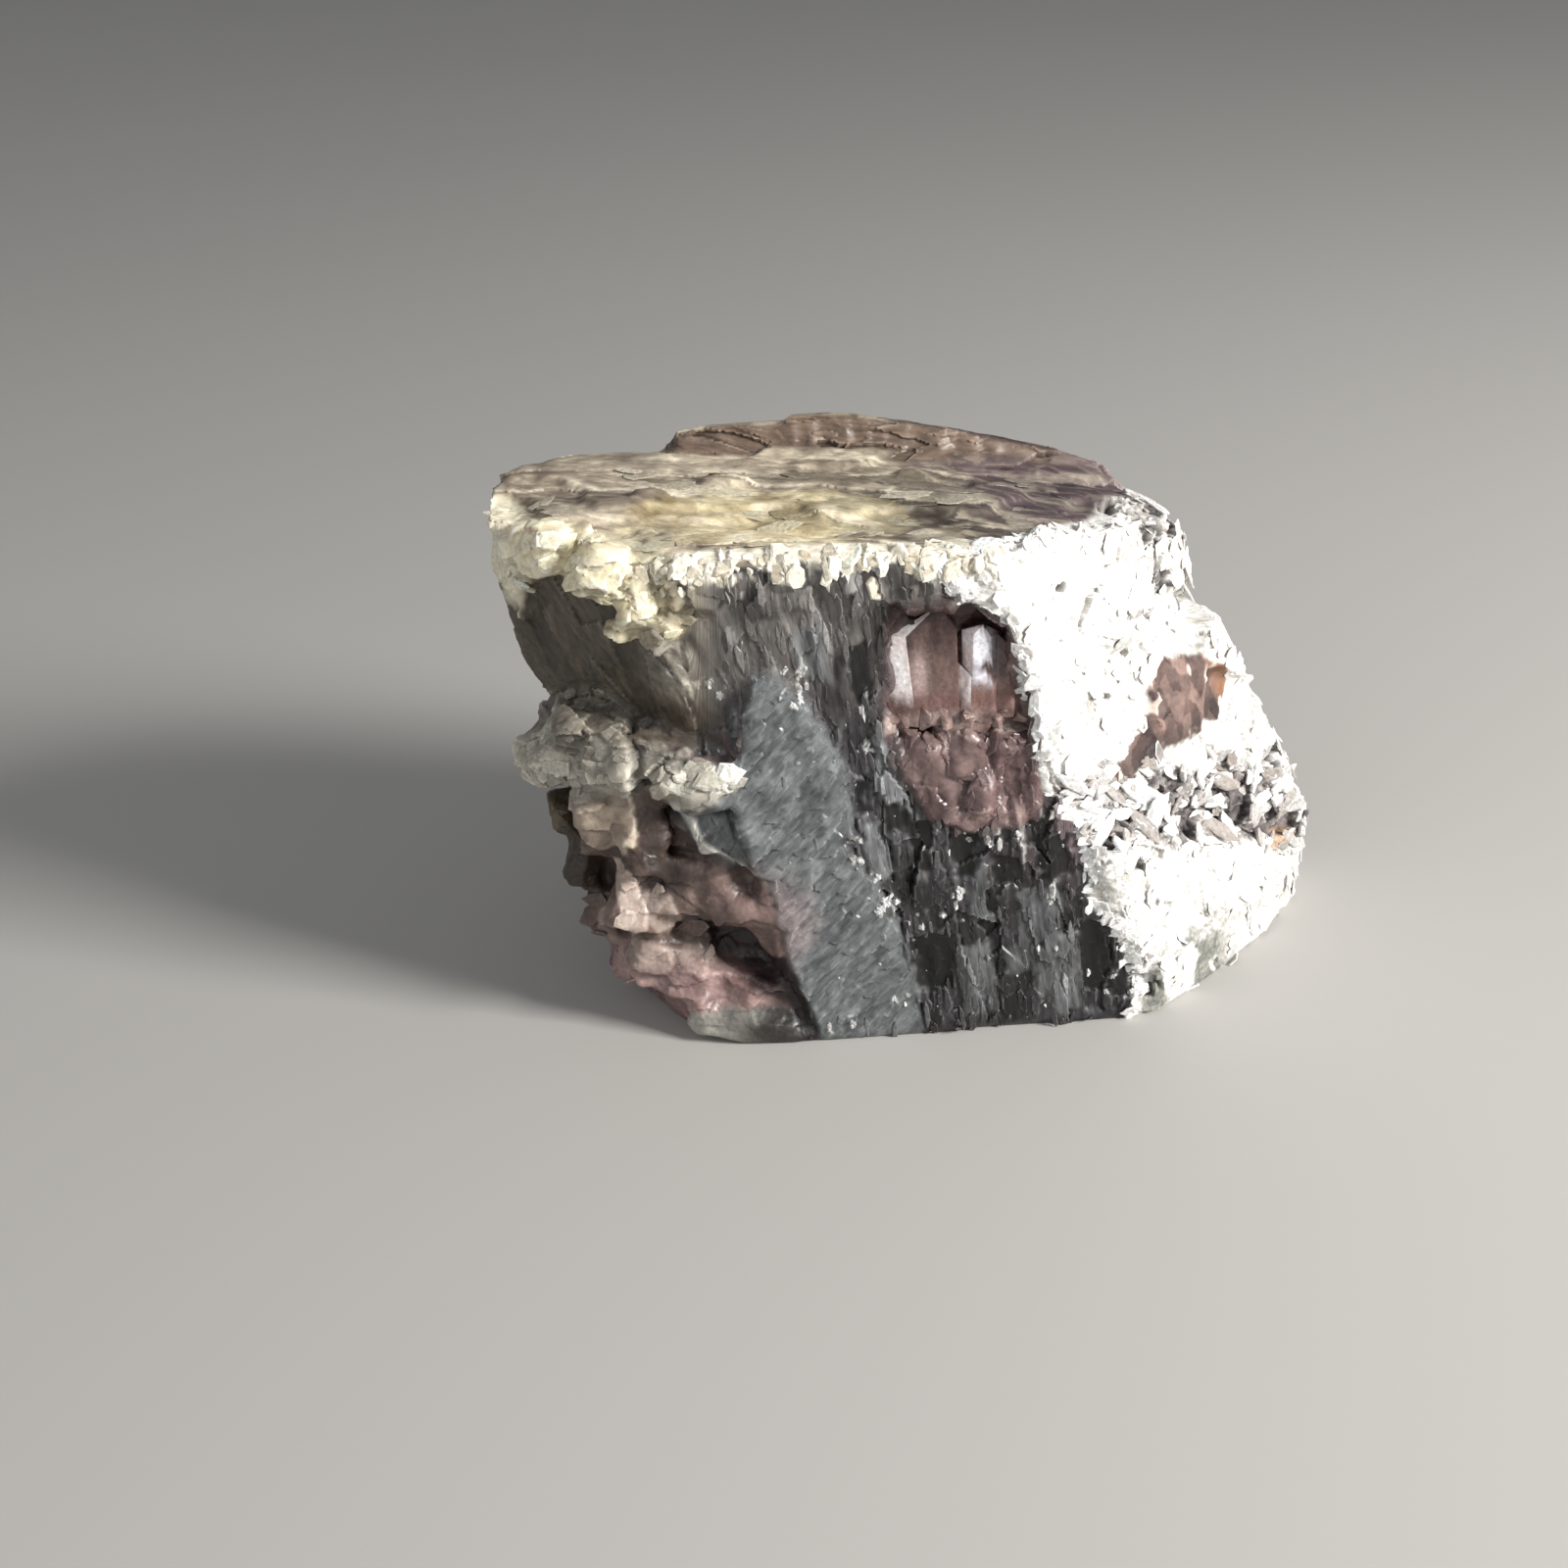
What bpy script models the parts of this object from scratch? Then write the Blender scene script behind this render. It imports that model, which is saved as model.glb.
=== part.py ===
"""A hand-sized lump of raw lepidolite, a lithium mica, broken out of its vein in one piece.

Convex blocks and six-sided mica books are grown into each other, fused to one skin and then
given the relief of broken mica: terraces of sheets on top, upright blades in front, scaly
chips on the right and sheet edges on the back. The underside is cut flat, so that it rests.

Positions are in millimetres, x to the right, y to the back and z up, from the middle of the
resting face. The finished mesh is in metres.
"""
import math

import bmesh
import bpy
import numpy as np
from mathutils import Euler, Vector

# Driving dimensions, in millimetres.
LEFT = -60.6
RIGHT = 60.5
FRONT = -31.0
BACK = 35.0
TOP = 76.0
WAIST = 43.0
CORNER_X = 29.0

# The way that the broken right-hand face looks. Its foot starts at CORNER_X, in front.
RIGHT_FACE = np.array([0.73, -0.68, 0.2])

# Fineness of the fused skin and the number of triangles that the stone is left with.
SKIN_CELL = 0.95
TRIANGLES = 9500
SINK = 0.4
SEED = 2031

STONE_COLOUR = (0.36, 0.29, 0.31, 1.0)


def clear_scene():
    for old in list(bpy.data.objects):
        bpy.data.objects.remove(old, do_unlink=True)


def on_right_face(y, z, out=0.0):
    """The point of the right-hand face at depth y and height z, moved out by a distance."""
    x = CORNER_X - (RIGHT_FACE[1] * (y - FRONT) + RIGHT_FACE[2] * z) / RIGHT_FACE[0]
    unit = RIGHT_FACE / np.linalg.norm(RIGHT_FACE)
    return tuple(np.array([x, y, z]) + unit * out)


def convex_block(bm, corners):
    """Adds the convex solid whose corners are the given points."""
    verts = [bm.verts.new(corner) for corner in corners]
    made = bmesh.ops.convex_hull(bm, input=verts)
    spare = [g for g in made["geom_interior"] if isinstance(g, bmesh.types.BMVert)]
    bmesh.ops.delete(bm, geom=spare, context="VERTS")


def book_corners(centre, width, depth, height, turn, top_scale=0.9):
    """Corners of a mica book: a six-sided stack of sheets, a little narrower at its top.

    The six corners of an end lie at u_k = (width cos(60 k), depth sin(60 k)) / 2, and turn
    gives the three angles, in degrees, by which the stack leans.
    """
    lean = Euler([math.radians(angle) for angle in turn])
    corners = []
    for end, scale in ((-0.5, 1.0), (0.5, top_scale)):
        for k in range(6):
            angle = math.radians(60 * k + 30)
            local = Vector((0.5 * width * scale * math.cos(angle),
                            0.5 * depth * scale * math.sin(angle),
                            end * height))
            local.rotate(lean)
            corners.append(tuple(Vector(centre) + local))
    return corners


def upper_block():
    """The overhanging upper half, from the waist to the broad top."""
    top = [(LEFT, -10, TOP + 1.2), (-58, 3, TOP + 1), (-47, 11, TOP), (-33, 12, TOP),
           (-8, 12, TOP - 1), (27, 9, TOP - 6), (-52, -22, TOP), (-39, -30, TOP - 2),
           (-13, FRONT - 0.5, TOP - 3), (7, FRONT - 0.5, TOP - 2.7)]
    shoulder = [on_right_face(-19, 71), on_right_face(-6, 69.5), (38.5, 1, 64.5),
                (40.3, 1, 56), (33, 12, 62)]
    flank = [(-60, -9, 65), (-57, 6, 62), (-57.6, -10, 55), (-50, -19, 62), (-35, -28, 60)]
    waist = [(-54.8, -7, WAIST + 3), (-46, -17, WAIST + 2), (-31, -28, WAIST),
             (-13, FRONT, WAIST - 4), on_right_face(FRONT, WAIST - 4),
             on_right_face(0, WAIST + 6, -1.5), (39, 18, WAIST + 6), (8, 28, WAIST),
             (-30, 26, WAIST), (-51, 14, WAIST)]
    back = [(-53, 12, 66), (-36, 21, 66), (6, 23, 62), (30, 17, 58)]
    return top + shoulder + flank + waist + back


def lower_block():
    """The lower half, which stands on the ground and reaches farther to the right."""
    foot = [(-43, -16, 0), (-37, -26, 0), (-16, FRONT - 2, 0), (8, FRONT + 1.5, 0),
            (CORNER_X, FRONT + 0.5, 0), (40, -19.5, 0), (49.5, -9.5, 0), (59, 2, 0),
            (57, 17, 0), (41, 30, 0), (10, BACK - 1, 0), (-20, BACK - 3, 0),
            (-40, 18, 0), (-44, 2, 0)]
    middle = [(-49.5, -10, 14), (-44, -21, 14), (-35, -27, 14), (-16, FRONT - 1, 20),
              on_right_face(FRONT, 14), (60, 4, 5), (RIGHT, 7, 12), (59.5, 7, 19),
              (58, 17, 14), (43, 31, 18), (10, BACK, 20), (-24, BACK - 2, 20),
              (-44, 21, 16), (-52, 2, 18), (55, 5.5, 26)]
    waist = [(-53, -9, 33), (-46, -18, 32), (-34, -27, 34), (-13, FRONT, WAIST),
             on_right_face(FRONT, WAIST), (50, 1, 38), (46, 0.5, 46.5), (43, 12, 48),
             (30, 23, 48), (0, 28, 50), (-30, 27, 50), (-49, 15, 46)]
    return foot + middle + waist


def back_slab():
    """The thick slab of sheets that stands proud along the back of the top."""
    return [(-34, 9, 75), (-34, 9.5, 79.6), (-29, 9, 80.7), (-8, 9, 80.2), (1, 9, 78.2),
            (14, 9, 75.4), (27, 8.5, 72), (30, 7.5, 68.4), (-29, 17, 78.4), (-10, 18, 77.6),
            (14, 17, 72.6), (28, 13, 68), (-34, 20, 69), (-34, 10, 70), (0, 24, 64),
            (-30, 23, 66), (26, 18, 60)]


def left_ledge():
    """The ledge that juts out under the overhang, from the left edge to the silvery sheet."""
    under = [(-59.2, -9, 35), (-58.4, -13, 37), (-55.5, -20, 38), (-48, -28.5, 40.5),
             (-38, -32, 41), (-29, -33.4, 39)]
    over = [(-57, -11, 42.5), (-51, -23, 49), (-43, -28.5, 48.5), (-35, -31, 46),
            (-28, -33, 43)]
    inside = [(-54, 0, 36), (-52, 0, 48), (-28, -26, 38), (-28, -26, 46)]
    return under + over + inside


def silver_sheet():
    """The smooth slanting sheet in the middle of the front, standing a little proud."""
    left = [(-25, 56), (-28, 42), (-25, 24), (-22, 11), (-17.5, 1)]
    right = [(-2.5, 1.5), (-5.5, 16), (-10, 25), (-12, 34), (-15, 44), (-20, 57)]
    edge = left + right
    proud = [(x, FRONT - 2.2 + 0.02 * z + 0.03 * (x + 28), z) for x, z in edge]
    return proud + [(x, FRONT + 3, z) for x, z in edge]


def lip():
    """The thin grey sheet that sticks out at the ground, left of the silvery sheet."""
    return [(-37.6, -30, 2.4), (-37, -30.5, 5), (-33.5, -32, 5.8), (-25, -33, 4.4),
            (-18, -32.5, 3), (-20, -33.2, 0.2), (-27, -33, 0.6), (-35, -32, 1.8),
            (-34, -25, 0), (-34, -25, 5), (-18, -27, 5), (-18, -27, 0)]


def pocket_cut():
    """The arched hollow in the upper right of the front, open to the front."""
    mouth = [(-6.5, 63), (-3.5, 67), (4.5, 67), (10, 63), (14, 53), (14, 45), (12.5, 36),
             (7, 33), (-2, 35), (-6, 42), (-7.5, 52)]
    corners = [(x, FRONT - 4, z) for x, z in mouth]
    corners += [(x * 0.8 + 0.8, FRONT + 6.5, z * 0.86 + 7.5) for x, z in mouth]
    return corners


def hollow_cut():
    """The dark hollow low on the left, between the pink books and the silvery sheet."""
    return [(-36, -36, 20.5), (-27, -36, 21), (-22, -36, 14), (-20, -36, 6), (-26, -36, 7.5),
            (-34, -36, 10), (-33, -25, 18), (-27, -25, 18), (-24, -25, 10), (-31, -25, 11)]


def notch_cut():
    """The shaded notch under the ledge, between the round books and the silvery sheet."""
    return [(-38, -38, 38), (-29.5, -38, 37.5), (-28.5, -38, 28), (-35, -38, 24),
            (-41, -38, 30), (-36, -27, 36), (-31, -27, 35), (-31, -27, 29), (-36, -26, 27)]


def window_cut():
    """The clean cleavage window set into the right-hand face."""
    edge = [(-8, 27), (-9, 33), (-5, 43), (-2, 46), (4, 45.5), (5, 36), (-1, 29)]
    return ([on_right_face(y, z, 4) for y, z in edge]
            + [on_right_face(y + 0.5, z * 0.8 + 8.5, -2.2) for y, z in edge])


def books():
    """Mica books that stand out of the skin: centre, width, depth, height, turn."""
    pocket = [((-1.5, -25.5, 56), 6.5, 7, 15, (4, -3, 20)),
              ((4.6, -25.5, 54), 5.5, 6, 12, (-3, 5, -10)),
              ((10, -26, 52), 5, 7, 12, (0, 14, -25)),
              ((-2.5, -28, 43), 7, 7, 7, (20, 10, 30)),
              ((3.5, -27.6, 44), 8, 8, 7, (-15, 20, 0)),
              ((9.5, -27.6, 41.5), 6.5, 7, 10, (10, -8, 40)),
              ((0.5, -28.8, 37.5), 8, 6, 6, (5, 25, 15)),
              ((6.5, -28.8, 36), 6.5, 6, 7, (0, -20, 20))]
    round_left = [((-46.5, -24.5, 33.8), 9.5, 6.5, 10.5, (14, -12, 28)),
                  ((-50.5, -17, 24), 6, 7, 8, (0, 20, 10)),
                  ((-53.5, -12, 29.5), 5, 7, 6, (15, 8, 0)),
                  ((-41, -27.5, 32), 7, 5, 10, (-8, 6, 10)),
                  ((-48.6, -17.5, 16), 5.5, 7, 8, (10, 14, 35)),
                  ((-45, -19.5, 9), 6, 7, 7, (0, 16, 15))]
    pink_low = [((-41.5, -25.5, 22.5), 11, 7, 11, (-16, 24, 22)),
                ((-35.5, -27.5, 24), 9, 6, 8, (-10, 12, 8)),
                ((-39.5, -25.5, 11.5), 11, 8, 8, (12, 30, 18)),
                ((-34, -27.5, 8.5), 12, 7, 6, (-12, 18, 6)),
                ((-27, -29, 7), 9, 6, 5, (10, 10, -8)),
                ((-29.5, -28.6, 24), 7, 5, 8, (0, -30, 0)),
                ((-25, -29.5, 19.5), 7, 5, 9, (6, -30, 5))]
    return pocket + round_left + pink_low


def knobs():
    """Rounded knobs of the upper left corner, its edge and the ledge: centre and size."""
    big = [((-50.6, -24, 75), 8.5), ((-43.6, -28.2, 72.5), 8.5), ((-47, -24, 76), 5),
           ((-39.5, -30.3, 68.5), 6.5), ((-36.3, -30.8, 63.5), 5.5), ((-41.5, -29, 64.5), 5)]
    ledge = [((-55.8, -15, 40), 5.5), ((-53, -20.5, 42.5), 6.5), ((-50, -24.5, 46.5), 6),
             ((-46, -27, 46.5), 5.5), ((-47, -27.5, 42.5), 5), ((-41, -29, 46), 6),
             ((-41.5, -30, 42), 4.5), ((-36.5, -31, 43), 5), ((-32, -31.5, 42), 5.5),
             ((-29.5, -31.5, 43), 4)]
    edge = [((-57.8, -13, 75), 4.5), ((-58.3, -11, 70.5), 4), ((-56, -17, 72.5), 5),
            ((-57.3, -13, 66), 4), ((-54, -19, 68.5), 4), ((-57.6, -6, 76), 4.5),
            ((-55.5, -15, 61.5), 3)]
    return big + edge + ledge


def right_steps():
    """Blocks that break the right-hand face and its outline into steps."""
    shelf = [on_right_face(-4, 49, 1.2), (41.5, 0.5, 50.6), (45.3, 1.2, 48.4),
             (46.6, 2, 43.5), (50.4, 3, 38), (44, 12, 48), (50, 12, 36), (40, 6, 36),
             on_right_face(-6, 46, 0.8)]
    knee = [(54.5, 3.5, 27.5), (58.6, 5, 20), (60.4, 7, 14), (60, 4, 7), (50, -4, 10),
            (46, -6, 22), (50, 0, 29), (52, 14, 26), (57, 14, 12)]
    heel = [(30, FRONT + 0.5, 0), (41, -20, 0), (50.5, -10, 0), (57, -3, 2), (57, -2, 8),
            (50.5, -8, 7), (40, -20, 9), (31, FRONT + 0.3, 9), (40, -10, 4), (34, -20, 12)]
    bright = [(21.5, FRONT - 0.8, 28.5), (26.5, FRONT - 0.4, 29), (28.5, FRONT - 0.8, 12),
              (29, FRONT, 8), (24, FRONT - 0.6, 18), (36, -20, 26), (38, -20, 10),
              (30, -22, 30)]
    return [shelf, knee, heel, bright]


def rim_teeth(rng):
    """Small bright blocks that hang along the front edge of the top."""
    teeth = []
    x = -35.0
    while x < 9.0:
        width = rng.uniform(2.6, 4.6)
        drop = rng.uniform(3.0, 6.0)
        centre = (x + width / 2, FRONT - 0.2, TOP - 4.0 - drop / 2)
        teeth.append((centre, width * 1.15, 3.2, drop, (0, rng.uniform(-12, 12), 0)))
        x += width * rng.uniform(0.85, 1.15)
    return teeth


def front_blades(rng):
    """Upright blades of the front: each is a narrow six-sided stack seen on its edge."""
    blades = []
    for _ in range(46):
        height = rng.uniform(8, 24)
        z = rng.uniform(4, 64)
        x = rng.uniform(-14, 24)
        room = CORNER_X - 0.27 * z - 3
        inside_pocket = -9 < x < 15 and 28 < z < 69
        on_sheet = x < -9 - 0.27 * (z - 28)
        if x > room or inside_pocket or on_sheet or z + height / 2 > 66:
            continue
        blades.append(((x, FRONT + 1.0 + rng.uniform(-0.4, 0.5), z), rng.uniform(1.8, 3.6), 3.4,
                       height, (0, rng.uniform(-5, 9), rng.uniform(-30, 30))))
    return blades


def right_chips(rng):
    """Loose-looking chips and scales that still cling to the right-hand face."""
    chips = []
    for _ in range(70):
        y = rng.uniform(-28, 0)
        z = rng.uniform(6, 66)
        in_window = -12 < y and 25 < z < 48
        at_outline = y > -10 and z > 44
        if in_window or at_outline:
            continue
        size = rng.uniform(3, 7)
        chips.append((on_right_face(y, z, rng.uniform(-1.4, -0.4)), size, size * 0.7,
                      rng.uniform(1.6, 3.0), tuple(rng.uniform(-60, 60, 3))))
    return chips


def fused_stone():
    """Fuses every block and book to one closed skin and gives it back as a mesh object."""
    rng = np.random.default_rng(SEED)
    body = bmesh.new()
    for corners in (upper_block(), lower_block(), back_slab()):
        convex_block(body, corners)
    main = object_from(body, "main_form")
    main = fused(main, SKIN_CELL * 1.4)

    for cut in (pocket_cut, hollow_cut, notch_cut, window_cut):
        cutter = bmesh.new()
        convex_block(cutter, cut())
        carve(main, object_from(cutter, cut.__name__))

    grown = bmesh.new()
    grown.from_mesh(main.data)
    for corners in [left_ledge(), silver_sheet(), lip()] + right_steps():
        convex_block(grown, corners)
    for book in books() + rim_teeth(rng) + front_blades(rng) + right_chips(rng):
        convex_block(grown, book_corners(*book))
    for centre, size in knobs():
        turn = tuple(rng.uniform(-40, 40, 3))
        convex_block(grown, book_corners(centre, size, size, size * 0.9, turn, 0.6))
    whole = object_from(grown, "grown")
    bpy.data.objects.remove(main, do_unlink=True)
    return fused(whole, SKIN_CELL)


def object_from(bm, name):
    """Turns a bmesh into an object in the scene, with its faces pointing out."""
    bmesh.ops.recalc_face_normals(bm, faces=bm.faces)
    mesh = bpy.data.meshes.new(name)
    bm.to_mesh(mesh)
    bm.free()
    made = bpy.data.objects.new(name, mesh)
    bpy.context.collection.objects.link(made)
    return made


def baked(thing):
    """Replaces an object's mesh by its modified one and drops the modifiers."""
    graph = bpy.context.evaluated_depsgraph_get()
    mesh = bpy.data.meshes.new_from_object(thing.evaluated_get(graph))
    thing.modifiers.clear()
    thing.data = mesh
    return thing


def fused(thing, cell):
    """Melts overlapping solids into one skin of even small faces."""
    skin = thing.modifiers.new("one skin", "REMESH")
    skin.mode = "VOXEL"
    skin.voxel_size = cell
    return baked(thing)


def carve(thing, cutter):
    """Cuts one solid out of another."""
    cut = thing.modifiers.new("cut", "BOOLEAN")
    cut.operation = "DIFFERENCE"
    cut.object = cutter
    baked(thing)
    bpy.data.objects.remove(cutter, do_unlink=True)


def smooth_noise(points, cell, seed):
    """Smooth random values between -1 and 1 that change over one cell length on each axis.

    Random values sit on a lattice; between its points the value is blended with the fade
    curve t*t*(3 - 2*t).
    """
    table = np.random.default_rng(seed).uniform(-1, 1, (32, 32, 32))
    place = points / np.asarray(cell, dtype=float)
    low = np.floor(place).astype(int)
    part = place - low
    fade = part * part * (3 - 2 * part)
    total = np.zeros(len(points))
    for i in (0, 1):
        for j in (0, 1):
            for k in (0, 1):
                pick = (low + (i, j, k)) % 32
                side = np.where(np.array((i, j, k)) == 1, fade, 1 - fade)
                total += table[pick[:, 0], pick[:, 1], pick[:, 2]] * side.prod(axis=1)
    return total


def ramp(value, low, high):
    """Rises smoothly from 0 at low to 1 at high."""
    t = np.clip((value - low) / (high - low), 0, 1)
    return t * t * (3 - 2 * t)


def add_relief(stone):
    """Moves the skin by the steps, blades and scales that cleaving left on each side."""
    mesh = stone.data
    points = np.empty(len(mesh.vertices) * 3)
    mesh.vertices.foreach_get("co", points)
    points = points.reshape(-1, 3)
    normals = np.empty_like(points).ravel()
    mesh.vertices.foreach_get("normal", normals)
    normals = normals.reshape(-1, 3)
    x, y, z = points.T

    # Terraces of overlapping sheets on top, in long lenses about four times as wide as deep.
    on_top = ramp(normals[:, 2], 0.55, 0.85) * ramp(z, 60, 68)
    height = smooth_noise(points, (34, 11, 60), 11) + 0.35 * smooth_noise(points, (13, 6, 60), 12)
    steps = np.round(height * 2.2) * 1.0 - 0.5

    # Upright blades in front, finer than the ones modelled as solids.
    faces_front = ramp(-normals[:, 1], 0.45, 0.8)
    on_sheet = ramp(-x, 8 + 0.27 * (z - 28), 10 + 0.27 * (z - 28)) * ramp(x, -29, -26)
    blades = np.abs(smooth_noise(points + (0.12 * z)[:, None] * (1, 0, 0), (2.6, 40, 16), 21))
    blades = (blades - 0.3) * 1.0 * (1 - on_sheet) * ramp(x, -34, -28)

    # Scales on the right-hand face, and lumps and sheet edges on the back and the left.
    in_window = ramp(y, -12, -9) * ramp(z, 25, 28) * ramp(-z, -48, -45)
    faces_right = ramp(normals @ RIGHT_FACE, 0.55, 0.85) * (1 - faces_front) * (1 - in_window)
    scales = np.round(2.2 * smooth_noise(points, (6, 5, 3.2), 31)) * 0.55
    faces_back = ramp(normals[:, 1], 0.1, 0.6)
    faces_left = ramp(-normals[:, 0], 0.3, 0.7) * (1 - faces_front)
    sheets = np.round(2 * smooth_noise(points, (30, 12, 5), 41)) * 0.8
    lumps = smooth_noise(points, 9, 42) * 1.2 + smooth_noise(points, 4, 43) * 0.5
    streaks = smooth_noise(points + (0.5 * z)[:, None] * (1, 0, 0), (3, 4, 16), 44) * 0.8

    above_foot = ramp(z, 0, 3)
    points[:, 2] += on_top * steps
    points[:, 1] -= faces_front * blades * above_foot
    push = faces_right * scales + faces_back * (sheets + lumps) + faces_left * (streaks + lumps * 0.3)
    points += normals * (push * above_foot * (1 - on_top))[:, None]
    mesh.vertices.foreach_set("co", points.ravel())
    mesh.update()


def thin_out(stone):
    """Leaves large flat faces where the stone is flat and small ones where it is broken."""
    triangles = sum(len(face.vertices) - 2 for face in stone.data.polygons)
    fewer = stone.modifiers.new("fewer faces", "DECIMATE")
    fewer.ratio = TRIANGLES / triangles
    fewer.use_collapse_triangulate = True
    baked(stone)


def cut_foot(stone):
    """Cuts the underside flat, centres the stone over it and turns millimetres to metres."""
    bm = bmesh.new()
    bm.from_mesh(stone.data)
    everything = bm.verts[:] + bm.edges[:] + bm.faces[:]
    bmesh.ops.bisect_plane(bm, geom=everything, plane_co=(0, 0, SINK), plane_no=(0, 0, -1),
                           clear_outer=True)
    rim = [edge for edge in bm.edges if edge.is_boundary]
    bmesh.ops.holes_fill(bm, edges=rim, sides=0)
    bmesh.ops.dissolve_degenerate(bm, edges=bm.edges, dist=0.05)
    bmesh.ops.triangulate(bm, faces=bm.faces)
    low = Vector([min(vert.co[i] for vert in bm.verts) for i in range(3)])
    high = Vector([max(vert.co[i] for vert in bm.verts) for i in range(3)])
    middle = (low + high) / 2
    for vert in bm.verts:
        vert.co = (vert.co - Vector((middle.x, middle.y, low.z))) * 0.001
    bmesh.ops.recalc_face_normals(bm, faces=bm.faces)
    bm.to_mesh(stone.data)
    bm.free()


def mica_material():
    """Purple-grey mica with a soft pearly gloss."""
    material = bpy.data.materials.new("lepidolite")
    material.use_nodes = True
    shader = material.node_tree.nodes["Principled BSDF"]
    shader.inputs["Base Color"].default_value = STONE_COLOUR
    shader.inputs["Roughness"].default_value = 0.45
    shader.inputs["Metallic"].default_value = 0.0
    return material


def main():
    clear_scene()
    stone = fused_stone()
    add_relief(stone)
    thin_out(stone)
    cut_foot(stone)
    stone.name = "lepidolite"
    stone.data.name = "lepidolite"
    stone.data.materials.clear()
    stone.data.materials.append(mica_material())


main()
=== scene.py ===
# %% [markdown]
# # A raw lump of lepidolite
# Lepidolite is a lithium mica. It grows in books, which are stacks of thin sheets, and it
# breaks into terraces, blades and scales. The solid stone comes ready made, with its facets a
# few millimetres wide. This lesson gives it the fine relief, the colours and the pearly gloss.

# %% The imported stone
import math

import bmesh
import bpy
import numpy as np
from mathutils import Matrix, Vector


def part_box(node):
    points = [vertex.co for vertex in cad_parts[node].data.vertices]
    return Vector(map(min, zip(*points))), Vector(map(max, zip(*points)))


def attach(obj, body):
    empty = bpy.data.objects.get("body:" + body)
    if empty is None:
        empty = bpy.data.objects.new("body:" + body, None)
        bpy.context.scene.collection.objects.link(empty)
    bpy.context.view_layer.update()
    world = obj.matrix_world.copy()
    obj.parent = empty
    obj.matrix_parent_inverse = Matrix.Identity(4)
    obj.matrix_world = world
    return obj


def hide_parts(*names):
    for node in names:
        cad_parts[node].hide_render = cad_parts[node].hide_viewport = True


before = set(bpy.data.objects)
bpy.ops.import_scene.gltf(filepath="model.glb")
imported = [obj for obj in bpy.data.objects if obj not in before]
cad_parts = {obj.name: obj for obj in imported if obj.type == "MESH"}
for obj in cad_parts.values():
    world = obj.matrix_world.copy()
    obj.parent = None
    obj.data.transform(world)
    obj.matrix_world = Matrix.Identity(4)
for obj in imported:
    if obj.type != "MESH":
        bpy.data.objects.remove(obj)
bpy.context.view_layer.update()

MM = 0.001
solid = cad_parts["lepidolite"]
low, high = (np.array(corner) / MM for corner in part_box("lepidolite"))
print("the stone in mm, from", low.round(1), "to", high.round(1))

# %% [markdown]
# ## The camera
# The stone was seen from the front, from above and a little from the left, by a camera that
# was turned slightly, so that level lines rise to the right. Its place follows from the line
# where the stone meets the ground. A long lens could be put farther off, but the near place
# matters here: it makes the top look as broad as it does.

# %% Camera
def placed(name, data):
    """A new object in the scene, which shows some data."""
    thing = bpy.data.objects.new(name, data)
    bpy.context.scene.collection.objects.link(thing)
    return thing


EYE = np.array([-21.1, -298.0, 170.3])
LOOK_DOWN = math.radians(26.0)
ROLL = math.radians(-2.9)

eye = bpy.data.cameras.new("eye")
eye.lens = 50
eye.sensor_width = 36
camera = placed("eye", eye)
camera.matrix_world = (Matrix.Translation(Vector(EYE) * MM)
                       @ Matrix.Rotation(math.radians(90) - LOOK_DOWN, 4, "X")
                       @ Matrix.Rotation(ROLL, 4, "Z"))
bpy.context.scene.camera = camera
print("the camera is", round(float(np.linalg.norm(EYE))), "mm from the foot of the stone")

# %% [markdown]
# ## Colours and nodes
# Paint codes are written as sRGB, which is how a screen shows them, but light is added up in
# linear numbers, so one function turns the one into the other. One more function adds a
# shader node with its settings and its links, which keeps each material short to read.

# %% Colour and node helpers
def linear(code):
    """The linear colour of an sRGB hex code: ((v + 0.055) / 1.055) ** 2.4 above 0.04045."""
    value = np.array([int(code[i:i + 2], 16) for i in (1, 3, 5)]) / 255
    return np.where(value > 0.04045, ((value + 0.055) / 1.055) ** 2.4, value / 12.92)


def add_node(tree, kind, settings=None, links=None):
    """Adds a node, sets its options or sockets by name, and links sockets to other outputs."""
    node = tree.nodes.new(kind)
    for name, value in (settings or {}).items():
        if isinstance(name, int) or name in node.inputs:
            node.inputs[name].default_value = value
        else:
            setattr(node, name, value)
    for name, source in (links or {}).items():
        tree.links.new(source, node.inputs[name])
    return node


def new_material(name):
    """An empty node material and its tree."""
    material = bpy.data.materials.new(name)
    material.use_nodes = True
    material.node_tree.nodes.clear()
    return material, material.node_tree


# %% [markdown]
# ## The studio
# A pale floor and soft light let the stone's own colours show. The strong lamp stands to the
# right and fairly high, so that the crumbly right-hand face is nearly white, the top is in
# half light and the bladed front stays dark. A weak lamp from the left opens the shadows.

# %% Floor and lights
FLOOR_HALF = 6.0
STONE_MIDDLE = Vector((0, 0, 0.04))


def floor_material():
    """Matt studio paper: pale and rough, with a trace of cloud in its tone."""
    material, tree = new_material("studio paper")
    place = add_node(tree, "ShaderNodeTexCoord")
    cloud = add_node(tree, "ShaderNodeTexNoise", {"Scale": 3.0, "Detail": 2.0},
                     {"Vector": place.outputs["Object"]})
    tone = add_node(tree, "ShaderNodeMix", {"data_type": "RGBA", 6: (*linear("#b2b0ac"), 1),
                                            7: (*linear("#b7b5b1"), 1)},
                    {0: cloud.outputs["Fac"]})
    paper = add_node(tree, "ShaderNodeBsdfPrincipled", {"Roughness": 0.9, "IOR": 1.45},
                     {"Base Color": tone.outputs[2]})
    add_node(tree, "ShaderNodeOutputMaterial", {}, {"Surface": paper.outputs["BSDF"]})
    return material


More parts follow.
